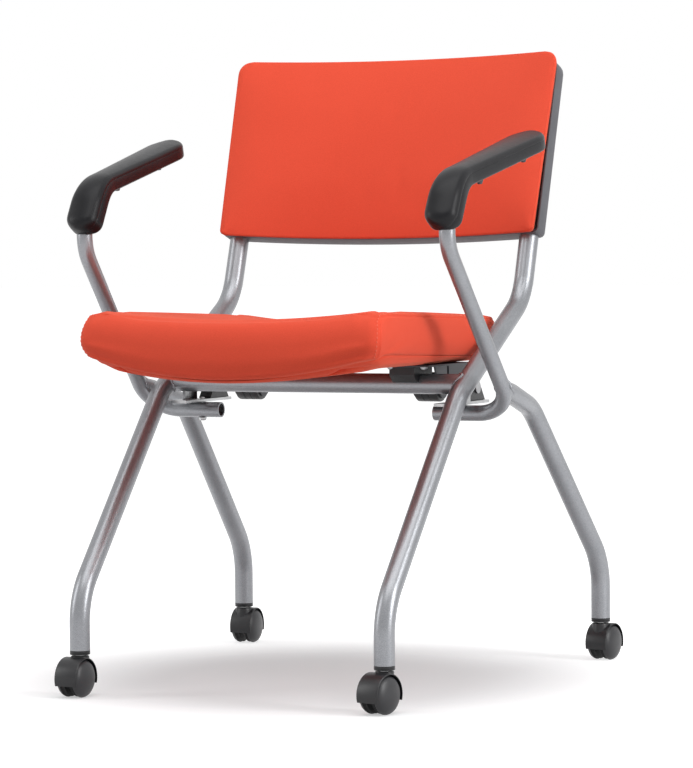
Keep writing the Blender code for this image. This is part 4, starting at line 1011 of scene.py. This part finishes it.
def stuff(item, swell, resting):
    """Swell a pad's cover with cloth pressure within a cap, then subdivide it."""
    mesh = item.data
    rest = [v.co.copy() for v in mesh.vertices]
    held = item.vertex_groups.new(name="held")
    held.add([v.index for v in mesh.vertices if resting(v)], 1.0, "REPLACE")
    cloth = item.modifiers.new("stuffing", "CLOTH")
    cloth.settings.use_pressure = True
    cloth.settings.uniform_pressure_force = CLOTH_PRESSURE
    cloth.settings.effector_weights.gravity = 0.0
    cloth.settings.vertex_group_mass = "held"
    cloth.point_cache.frame_start = 1
    cloth.point_cache.frame_end = CLOTH_FRAMES
    scene = bpy.context.scene
    for step in range(1, CLOTH_FRAMES + 1):
        scene.frame_set(step)
    swollen = item.evaluated_get(bpy.context.evaluated_depsgraph_get()).to_mesh()
    moved = [v.co.copy() for v in swollen.vertices]
    item.modifiers.clear()
    item.vertex_groups.clear()
    scene.frame_set(1)
    for v, before, after in zip(mesh.vertices, rest, moved):
        step = after - before
        v.co = before + step * min(1.0, swell / max(step.length, 1e-9))
    smooth = item.modifiers.new("even_curve", "SUBSURF")
    smooth.levels = smooth.render_levels = 1
    bake(item)
    item.data.shade_smooth()


def press_line(item, line, width, depth):
    """Sink the cover of a pad along a line."""
    near = near_tree(line)
    normals = [v.normal.copy() for v in item.data.vertices]
    for v, normal in zip(item.data.vertices, normals):
        distance = near.find(v.co)[2]
        if distance < 3 * width:
            v.co -= normal * depth * math.exp(-(distance / width) ** 2)
    item.data.update()


def dense_line(points, spacing):
    """Points at an even spacing along a row of points."""
    line = [points[0]]
    for before, after in zip(points, points[1:]):
        steps = max(1, round((after - before).length / spacing))
        line += [before.lerp(after, i / steps) for i in range(1, steps + 1)]
    return line


def lay_on(item, points, lift):
    """The points moved onto a piece's surface and raised off it."""
    tree = BVHTree.FromObject(item, bpy.context.evaluated_depsgraph_get())
    laid = []
    for point in points:
        place, normal, _, _ = tree.find_nearest(point)
        laid.append(place + normal * lift)
    return laid


def boxing_seam(side, shift=0.0, grow=SEAT_SWELL):
    """Seam of the cushion's side panel: up the front corner, back along the top edge, down the rear corner."""
    front, rear = CORNER_SEAM_T - shift / SEAT_DEPTH, SIDE_SEAM_END + shift / SEAT_DEPTH
    high = SIDE_SEAM_SHARE + shift / SEAT_CREST
    turn = SEAM_TURN
    spots = [(front, high * share) for share in (0.02, 0.2, 0.4, 0.6, 0.8)]
    spots += [(front + turn * 0.12, high * 0.93), (front + turn * 0.45, high * 0.985), (front + turn, high)]
    spots += [(0.15 + 0.1 * i, high) for i in range(8)]
    spots += [(rear - turn * 0.5, high * 0.98), (rear - turn * 0.1, high * 0.9)]
    spots += [(rear, high * share) for share in (0.7, 0.45, 0.2, 0.02)]
    return [seat_side(side, t, share, grow) for t, share in spots]


def make_seat_cushion():
    columns, rows = grid_lines(*SEAT_GRID, CLOTH_GRID_EVEN)
    for seam_t in (CORNER_SEAM_T, SIDE_SEAM_END):
        nearest = min(range(len(rows)), key=lambda i: abs(rows[i] - seam_t))
        rows[nearest] = seam_t
    inset = SEAT_STARTING_INSET

    def top(f, t):
        return seat_spot(f, t, seat_top(f, t) - inset, wall_inset(t, 1.0) + inset, back=SEAT_ROLL_BACK - SEAT_ROLL_IN)

    def seam(f, t):
        tuck = seat_side(f, t, 0.0, -inset - SEAM_TUCK)
        return Vector((tuck.x, tuck.y, seat_seam(f, t)))

    belts = [lambda f, t, s=share: seat_side(f, t, s, -inset) for share in SEAT_WALL_SHARES]
    cushion = finish_mesh("seat_cushion_stuffed", grid_block(columns, rows, top, seam, belts), [FABRIC])
    sewn = [point for side in SIDES.values() for point in dense_line(boxing_seam(side, 0.0, -inset), SEAM_STEP)]
    near = near_tree(sewn)
    stuff(cushion, SEAT_SWELL, lambda v: v.normal.z < -HELD_FACING or near.find(v.co)[2] < SEAM_HOLD)
    for side in SIDES.values():
        line = lay_on(cushion, dense_line(boxing_seam(side), SEAM_STEP), 0.0)
        press_line(cushion, line, SEAM_WIDTH, SEAM_DEPTH)
        first, last = SIDE_FOLD_T
        fold = [seat_side(side, last + (first - last) * share, share) for share in (0.1, 0.3, 0.5, 0.7, 0.9)]
        press_line(cushion, lay_on(cushion, dense_line(fold, LINE_STEP), 0.0), SIDE_FOLD_WIDTH, SIDE_FOLD_DEPTH)
    return seat_on(cushion, "seat", "red_fabric", "seat_cushion")


def make_boxing_stitches(cushion):
    stitches = seam_stitch_tree()
    for side_name, side in SIDES.items():
        line = lay_on(cushion, dense_line(boxing_seam(side, STITCH_OFFSET), LINE_STEP), STITCH_LIFT)
        name = "boxing_stitches_" + side_name
        row = stitches.grow(name, line_mesh(name, line), {"Pitch": STITCH_PITCH, "Length": STITCH_LENGTH,
                                                          "Thickness": STITCH_THICKNESS, "Finish": THREAD})
        row.data.shade_smooth()
        seat_on(row, "seat", "red_fabric")


def make_seat_base():
    columns, rows = grid_lines(*SEAT_BASE_GRID)
    round_off = SEAT_BASE_ROUND

    def flat(f, t):
        edge = SEAT_BASE_RISE * max(0.0, abs(f) - SEAT_BASE_FLAT) / (1 - SEAT_BASE_FLAT)
        return SEAT_UNDERSIDE + edge - SEAT_LIP_DROP * lip_dip(f, t)

    def edge_spot(f, t, height, inset):
        return seat_spot(f, t, height, nose_tuck(t) + inset, SEAT_BASE_CORNER, 0.0)

    def top(f, t):
        return edge_spot(f, t, seat_seam(f, t) - GAP, round_off - 0.001)

    def bottom(f, t):
        return edge_spot(f, t, flat(f, t), SEAT_BASE_INSET + round_off)

    def belt(share):
        def point(f, t):
            low, high = flat(f, t), seat_seam(f, t) - GAP
            lean = SEAT_BASE_INSET * (1 - share)
            bulge = round_off * (1 - (2 * share - 1) ** 4)
            return edge_spot(f, t, low + (high - low) * share, round_off + lean - bulge)
        return point

    belts = [belt(share) for share in SEAT_BASE_SHARES]
    base = finish_mesh("seat_base_covered", grid_block(columns, rows, top, bottom, belts), [FABRIC],
                       BASE_SMOOTH_ANGLE)
    seat_on(base, "seat", "red_fabric", "seat_base")


# Backrest

def back_point(u, v, w):
    half = SHELL_WIDTH / 2
    curve = BACK_SAG * (UPRIGHT_FOOT.x ** 2 - u * u) / half ** 2
    return BACK_ORIGIN + SIDEWAYS * u + BACK_UP * v + BACK_DEPTH * (w + curve)


def rounded_panel(f, t, low, high, low_half, top_half, low_corner, top_corner, inset):
    """Spot (u, v) of a panel with rounded corners at shares f across and t up, pulled in by an inset."""
    low, high = low + inset, high - inset
    v = low + (high - low) * t
    half = low_half + (top_half - low_half) * t - inset
    for distance, corner in ((v - low, low_corner), (high - v, top_corner)):
        corner = max(corner - inset, LEAST_CORNER)
        if distance < corner:
            half -= corner - math.sqrt(max(0.0, corner ** 2 - (corner - distance) ** 2))
    return f * half, v


def panel_loops(outline):
    """Maker of the loops of a back panel, each at its own inset and depth."""
    def loop(inset, w):
        return lambda f, t: back_point(*rounded_panel(f, t, *outline(f), inset), w)
    return loop


def make_back_shell():
    """Tray behind the back pad: rounded rear edge, thin walls and an open front."""
    columns, rows = grid_lines(*SHELL_GRID)
    half = SHELL_OUTER / 2
    loop = panel_loops(lambda f: (0.0, BACK_HEIGHT, half, half, SHELL_LOW_CORNER, SHELL_TOP_CORNER))
    outside = [loop(inset, SHELL_REAR - ahead) for inset, ahead in quarter_round(SHELL_ROUND, 8, 1, 8)]
    rim = SHELL_RIM
    inner_rear = SHELL_REAR - SHELL_WALL
    edges = [loop(0.0, SHELL_FRONT + rim), loop(rim * 0.3, SHELL_FRONT + rim * 0.3), loop(rim, SHELL_FRONT),
             loop(SHELL_WALL - rim, SHELL_FRONT), loop(SHELL_WALL, SHELL_FRONT + rim)]
    inside = [loop(SHELL_WALL, inner_rear - SHELL_ROUND),
              loop(SHELL_WALL + SHELL_ROUND / 3, inner_rear - SHELL_FLOOR_EASE)]
    block = grid_block(columns, rows, loop(SHELL_ROUND, SHELL_REAR), loop(SHELL_WALL + SHELL_ROUND, inner_rear),
                       outside + edges + inside)
    seat_on(finish_mesh("back_shell_tray", block, [SHELL]), "frame", "shell_grey", "back_shell")


def make_back_pad():
    columns, rows = grid_lines(*BACK_PAD_GRID, CLOTH_GRID_EVEN)
    front = BACK_PAD_REAR - BACK_PAD_SIDE
    loop = panel_loops(lambda f: (BACK_PAD_LOW, BACK_PAD_HIGH - BACK_PAD_ARCH * f * f, BACK_PAD_LOW_WIDTH / 2,
                                  BACK_PAD_TOP_WIDTH / 2, BACK_PAD_LOW_CORNER, BACK_PAD_TOP_CORNER))

    def face(f, t):
        crown = BACK_PAD_CROWN * (1 - f ** 4) * (1 - (2 * t - 1) ** 4)
        return loop(BACK_PAD_ROLL, front - crown)(f, t)

    belts = [loop(inset, front + back) for inset, back in quarter_round(BACK_PAD_ROLL, 6, 1, 5)]
    belts += [loop(BACK_PAD_TUCK * share, BACK_PAD_REAR - ahead) for share, ahead in BACK_PAD_TUCK_STEPS]
    block = grid_block(columns, rows, face, loop(BACK_PAD_TUCK, BACK_PAD_REAR), belts)
    pad = finish_mesh("back_pad_stuffed", block, [FABRIC])
    stuff(pad, BACK_PAD_SWELL, lambda v: v.normal.dot(BACK_DEPTH) > -HELD_FACING)
    seat_on(pad, "frame", "red_fabric", "back_pad")


# Casters

class CasterFrame:
    """Places of one caster, read from its swivel and wheel joints."""

    def __init__(self, corner):
        self.corner = corner
        swivel = joints[corner + "_swivel"]["pos_m"]
        roll = joints[corner + "_wheel_a_roll"]
        self.axis_foot = Vector((swivel[0], swivel[1], 0.0))
        self.hub = Vector(roll["pos_m"])
        self.across = Vector(roll["axis"]).normalized()
        self.behind = UP.cross(self.across).normalized()

    def rim(self, aside, radius, angle):
        """Point by its distance along the axle, its radius from it and its angle from behind over the top."""
        return self.hub + self.across * aside + (self.behind * math.cos(angle) + UP * math.sin(angle)) * radius


def make_hood(caster):
    fender = WHEEL_RADIUS + HOOD_CLEARANCE
    outer = fender + HOOD_THICKNESS
    half = WEB_HALF + GAP + WHEEL_WIDTH - HOOD_SIDE_SHOW
    dip = math.asin(HOOD_SKIRT / outer)
    section = []
    for sign in (-1.0, 1.0):
        edge = [(sign * (half - aside), outer - down) for down, aside in quarter_round(HOOD_EDGE, 4, 0, 4)]
        section += edge if sign < 0 else edge[::-1]
    section += [(half, fender), (half - HOOD_LIP, fender), (-half + HOOD_LIP, fender), (-half, fender)]
    angles = [-dip + (math.pi + 2 * dip) * i / HOOD_STEPS for i in range(HOOD_STEPS + 1)]
    bm = bmesh.new()
    skin_rings(bm, [[caster.rim(s, r, a) for s, r in section] for a in angles])
    web = [(fender + WEB_OVERLAP, a) for a in angles]
    skin_rings(bm, [[caster.rim(side, r, a) for r, a in web] for side in (-WEB_HALF, WEB_HALF)])
    top = caster.hub.z + outer + BOSS_RISE
    trail = (caster.axis_foot - caster.hub).dot(caster.behind)

    def boss_ring(radius, height=None):
        """Ring of the boss round the stem, at a height or down on the hood's arch."""
        ring = []
        for step in range(TURN_SIDES):
            a = 2 * math.pi * step / TURN_SIDES
            aside, back = radius * math.cos(a), trail + radius * math.sin(a)
            low = caster.hub.z + math.sqrt((outer - HOOD_THICKNESS / 2) ** 2 - back ** 2)
            spot = caster.hub + caster.across * aside + caster.behind * back
            ring.append(Vector((spot.x, spot.y, low if height is None else height)))
        return ring

    rings = [boss_ring(BOSS_RADIUS - BOSS_EDGE, top), boss_ring(BOSS_RADIUS - BOSS_EDGE / 3, top - BOSS_EDGE / 3),
             boss_ring(BOSS_RADIUS, top - BOSS_EDGE)]
    skin_rings(bm, rings + [boss_ring(BOSS_RADIUS * share) for share in BOSS_SHARES])
    hood = finish_mesh(caster.corner + "_hood_moulded", bm, [BLACK])
    seat_on(hood, caster.corner + "_caster", "black_plastic", caster.corner + "_hood")


def wheel_profile():
    """Half section of a wheel as (radius, distance from the web): domed cover, then the grooved tread."""
    cover = [(radius, WHEEL_WIDTH + rise) for radius, rise in COVER_DOME]
    ground = WHEEL_RADIUS - TREAD_STEP
    sunk = ground - TREAD_GROOVE_DEPTH
    wide, narrow = TREAD_GROOVE_HALF
    tread = [(ground, WHEEL_WIDTH - TREAD_TOP)]
    for groove in TREAD_GROOVES:
        tread += [(ground, groove + wide), (sunk, groove + narrow), (sunk, groove - narrow), (ground, groove - wide)]
    tread += [(ground, TREAD_EDGE), (ground - TREAD_EDGE, 0.0)]
    bore = AXLE_RADIUS + GAP
    return cover, tread + [(bore, 0.0), (bore, HUB_BORE_DEPTH), (0.0, HUB_BORE_DEPTH)]


def make_wheels(caster):
    cover, tread = wheel_profile()
    for name, way in (("wheel_a", -1.0), ("wheel_b", 1.0)):
        bm = bmesh.new()
        place = caster.hub + caster.across * way * (WEB_HALF + GAP)
        faces = turn_profile(bm, cover + tread, place, caster.across * way)
        for face in faces[(len(cover) - 1) * TURN_SIDES:]:
            face.material_index = 1
        node = "%s_%s" % (caster.corner, name)
        wheel = finish_mesh(node + "_turned", bm, [WHEEL_COVER, TREAD])
        seat_on(wheel, node, "black_plastic", node)


def make_turned(node, profile, place, axis, finish, body, slot, sides=TURN_SIDES):
    """A turned piece in place of a CAD node."""
    bm = bmesh.new()
    turn_profile(bm, profile, place, axis, sides)
    seat_on(finish_mesh(node + "_turned", bm, [finish]), body, slot, node)


def make_stem_and_plug(caster):
    boss_top = caster.hub.z + WHEEL_RADIUS + HOOD_CLEARANCE + HOOD_THICKNESS + BOSS_RISE
    flange = LEG_END - GAP - PLUG_FLANGE
    top = LEG_END + PLUG_DEPTH
    stem = [(0.0, boss_top - STEM_SINK), (STEM_RADIUS, boss_top - STEM_SINK), (STEM_RADIUS, boss_top + GAP),
            (NECK_RADIUS, boss_top + GAP), (NECK_RADIUS, flange - GAP), (STEM_RADIUS, flange - GAP),
            (STEM_RADIUS, top - STEM_TIP), (STEM_RADIUS / 2, top), (0.0, top)]
    make_turned(caster.corner + "_stem", stem, caster.axis_foot, UP, ZINC, caster.corner + "_caster", "zinc",
                STEM_SIDES)
    bore, sleeve, edge = STEM_RADIUS + GAP, LEG_RADIUS - TUBE_WALL - GAP, PLUG_EDGE
    groove = flange + PLUG_GROOVE
    plug = [(bore, flange), (LEG_RADIUS - edge, flange), (LEG_RADIUS, flange + edge),
            (LEG_RADIUS, groove - PLUG_GROOVE_HALF), (LEG_RADIUS - PLUG_GROOVE_DEPTH, groove),
            (LEG_RADIUS, groove + PLUG_GROOVE_HALF), (LEG_RADIUS, LEG_END - GAP - edge / 2),
            (LEG_RADIUS - edge / 2, LEG_END - GAP), (sleeve, LEG_END - GAP), (sleeve, top), (bore, top)]
    make_turned(caster.corner + "_plug", plug, caster.axis_foot, UP, BLACK, "frame", "black_plastic")


# Hinge hardware

def make_barrel(side_name, side):
    """Pivot barrel of the seat: bored body with rounded ends and two grooves."""
    node = "seat_barrel_" + side_name
    low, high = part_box(node)
    start, end = (low.x, high.x) if side > 0 else (-high.x, -low.x)
    radius = (high.z - low.z) / 2
    place = Vector((0.0, (low.y + high.y) / 2, (low.z + high.z) / 2))
    bore, edge, sunk = BARREL_BORE, BARREL_EDGE, radius - BARREL_GROOVE_DEPTH
    wide, narrow = BARREL_GROOVE_HALF
    body = [(bore, start), (radius - edge, start), (radius - edge * 0.3, start + edge * 0.3), (radius, start + edge)]
    for groove in BARREL_GROOVES:
        middle = start + (end - start) * groove
        body += [(radius, middle - wide), (sunk, middle - narrow), (sunk, middle + narrow), (radius, middle + wide)]
    body += [(radius, end - edge), (radius - edge * 0.3, end - edge * 0.3), (radius - edge, end), (bore, end)]
    make_turned(node, body, place, SIDEWAYS * side, BLACK, "seat", "black_plastic")


def make_screws():
    """Cross-recess screws under the arm pads, on the back shell and through the seat brackets."""
    screws = cross_screw_tree()
    sizes = {"Diameter": SCREW_HEAD, "Height": SCREW_HEIGHT, "Finish": STEEL}

    def drive(name, body, slot, places, axes, replaced=(), **other):
        item = screws.grow(name, spot_mesh(name, places, axes), {**sizes, **other})
        shade(item.data, EDGE_ANGLE)
        seat_on(item, body, slot, *replaced)

    pad_lift = Vector((0.0, -math.sin(PAD_TILT), math.cos(PAD_TILT)))
    names, places = [], []
    for side_name in SIDES:
        for end in ("front", "rear"):
            node = "arm_screw_%s_%s" % (side_name, end)
            low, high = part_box(node)
            names.append(node)
            reach = (SCREW_SHANK + SCREW_HEIGHT) / 2
            places.append((low + high) / 2 - pad_lift * (reach - SCREW_HEIGHT))
    # Arm pad screws get steel darkened as painted shade from the pads above them
    drive("arm_pad_screws", "frame", "steel", places, [-pad_lift] * len(places), names, Height=ARM_SCREW_HEIGHT,
          Finish=STEEL_IN_PAINTED_SHADE)

    places = [back_point(UPRIGHT_FOOT.x * side, BACK_SCREW_RISE, SHELL_REAR - BACK_SCREW_SINK)
              for side in SIDES.values()]
    drive("back_shell_screws", "frame", "black_plastic", places, [BACK_DEPTH] * 2,
          ["back_screw_left", "back_screw_right"], Finish=BLACK)

    places = []
    for side_name in SIDES:
        low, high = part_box("seat_bracket_" + side_name)
        plate = SEAT_UNDERSIDE - GAP - BRACKET_PLATE
        for y in (low.y + BRACKET_SCREW_EDGE, high.y - BRACKET_SCREW_EDGE):
            for x in (low.x + BRACKET_SCREW_INNER, high.x - BRACKET_SCREW_EDGE):
                places.append(Vector((x, y, plate)))
    drive("seat_bracket_screws", "seat", "steel", places, [-UP] * len(places))


def dress_nodes():
    """Rounded edges and finishes on the CAD nodes that stay."""
    # seat_bracket is zinc plate painted dark for the shade under the seat
    kinds = {"hinge_bar": ZINC, "seat_bracket": STEEL_IN_PAINTED_SHADE, "stub_bolt": ZINC, "hinge_block": BLACK,
             "seat_saddle": BLACK, "hinge_pin": STEEL, "arm_strip": STEEL, "back_panel": BOARD}
    for name, item in nodes.items():
        if item.hide_render:
            continue
        finish = next((kinds[k] for k in kinds if name.startswith(k)), STEEL)
        item.data.materials.clear()
        item.data.materials.append(finish)
        weld = item.modifiers.new("weld", "WELD")
        weld.merge_threshold = 1e-5
        bevel = item.modifiers.new("edges", "BEVEL")
        bevel.width = NODE_BEVEL
        bevel.segments = 2
        bevel.limit_method = "ANGLE"
        bevel.angle_limit = EDGE_ANGLE


# Stage

class StudioTree(ShaderTree):
    """An emptied tree for a part of the studio."""

    def __init__(self, owner):
        super().__init__(owner)
        self.tree.nodes.clear()

    def white_share(self):
        """1 for the rays that see the studio's white: from the camera, in reflections and through clear pieces."""
        rays = self.add("LightPath")
        seen = self.math("MAXIMUM", rays["Is Camera Ray"], rays["Is Glossy Ray"])
        return self.math("MAXIMUM", seen, rays["Is Transmission Ray"])


def studio_floor():
    """White floor that keeps the chair's real shadow, with a painted shadow round it: the glow to the camera is
    dimmed near a point under the chair, and white to the camera far away.
    """
    mesh = bpy.data.meshes.new("floor")
    far = FLOOR_REACH
    mesh.from_pydata([(-far, -far, 0.0), (far, -far, 0.0), (far, far, 0.0), (-far, far, 0.0)], [], [(0, 1, 2, 3)])
    floor = bpy.data.objects.new("floor", mesh)
    bpy.context.scene.collection.objects.link(floor)
    material = bpy.data.materials.new("studio_floor")
    look = StudioTree(material)
    matt = look.add("BsdfDiffuse", {"Color": FLOOR_GREY})[0]
    place = look.add("TexCoord")["Object"]
    # Painted shadow pool: glow dimmed near the middle under the chair, full white past the reach
    reach = look.add("VectorMath", {0: place, 1: PAINTED_SHADOW_MIDDLE}, operation="DISTANCE")["Value"]
    near, far_off = PAINTED_SHADOW_REACH
    level = look.add("MapRange", {"Value": reach, "From Min": near, "From Max": far_off, "To Min": PAINTED_SHADOW_GLOW,
                                  "To Max": 1.0}, interpolation_type="SMOOTHSTEP")["Result"]
    shine = look.math("MULTIPLY", look.white_share(), level)
    glow = look.add("Emission", {"Color": WHITE, "Strength": shine})[0]
    look.add("OutputMaterial", {"Surface": look.add("AddShader", {0: matt, 1: glow})[0]})
    mesh.materials.append(material)


def studio_world():
    world = bpy.data.worlds.new("studio")
    bpy.context.scene.world = world
    look = StudioTree(world)
    level = look.spread(look.white_share(), WORLD_LIGHT, 1.0)
    look.add("OutputWorld", {"Surface": look.add("Background", {"Color": WHITE, "Strength": level})[0]})


def softbox(name, place, size, level):
    """Soft light on the chair; a level of 1 lights a facing surface at its own colour."""
    lamp = bpy.data.lights.new(name, "AREA")
    lamp.shape = "RECTANGLE"
    lamp.size, lamp.size_y = size
    reach = LIT_MIDDLE - place
    lamp.energy = level * math.pi ** 2 * reach.length_squared
    item = bpy.data.objects.new(name, lamp)
    item.location = place
    item.rotation_euler = reach.to_track_quat("-Z", "Y").to_euler()
    bpy.context.scene.collection.objects.link(item)


def set_camera():
    sin, cos = math.sin, math.cos
    ahead = Vector((-sin(CAMERA_YAW) * cos(CAMERA_PITCH), cos(CAMERA_YAW) * cos(CAMERA_PITCH), -sin(CAMERA_PITCH)))
    right = Vector((cos(CAMERA_YAW), sin(CAMERA_YAW), 0.0))
    down = ahead.cross(right)
    side = right * cos(CAMERA_ROLL) + down * sin(CAMERA_ROLL)
    low = down * cos(CAMERA_ROLL) - right * sin(CAMERA_ROLL)
    data = bpy.data.cameras.new("camera")
    data.sensor_width = SENSOR_WIDTH
    data.lens = LENS
    camera = bpy.data.objects.new("camera", data)
    turn = Matrix((side, -low, -ahead)).transposed()
    camera.matrix_world = Matrix.Translation(CAMERA_TARGET - ahead * CAMERA_DISTANCE) @ turn.to_4x4()
    bpy.context.scene.collection.objects.link(camera)
    bpy.context.scene.camera = camera


def build():
    for side_name, side in SIDES.items():
        make_side_frame(side_name, side)
        make_arm_pad(side_name, side)
        make_barrel(side_name, side)
    make_crossbar()
    cushion = make_seat_cushion()
    make_boxing_stitches(cushion)
    make_seat_base()
    make_back_shell()
    make_back_pad()
    for corner in CORNERS:
        caster = CasterFrame(corner)
        make_hood(caster)
        make_wheels(caster)
        make_stem_and_plug(caster)
    make_screws()
    dress_nodes()

    studio_floor()
    studio_world()
    for name, (place, size, level) in SOFTBOXES.items():
        softbox(name, place, size, level)
    set_camera()
    bpy.context.scene.view_settings.view_transform = "Standard"


build()
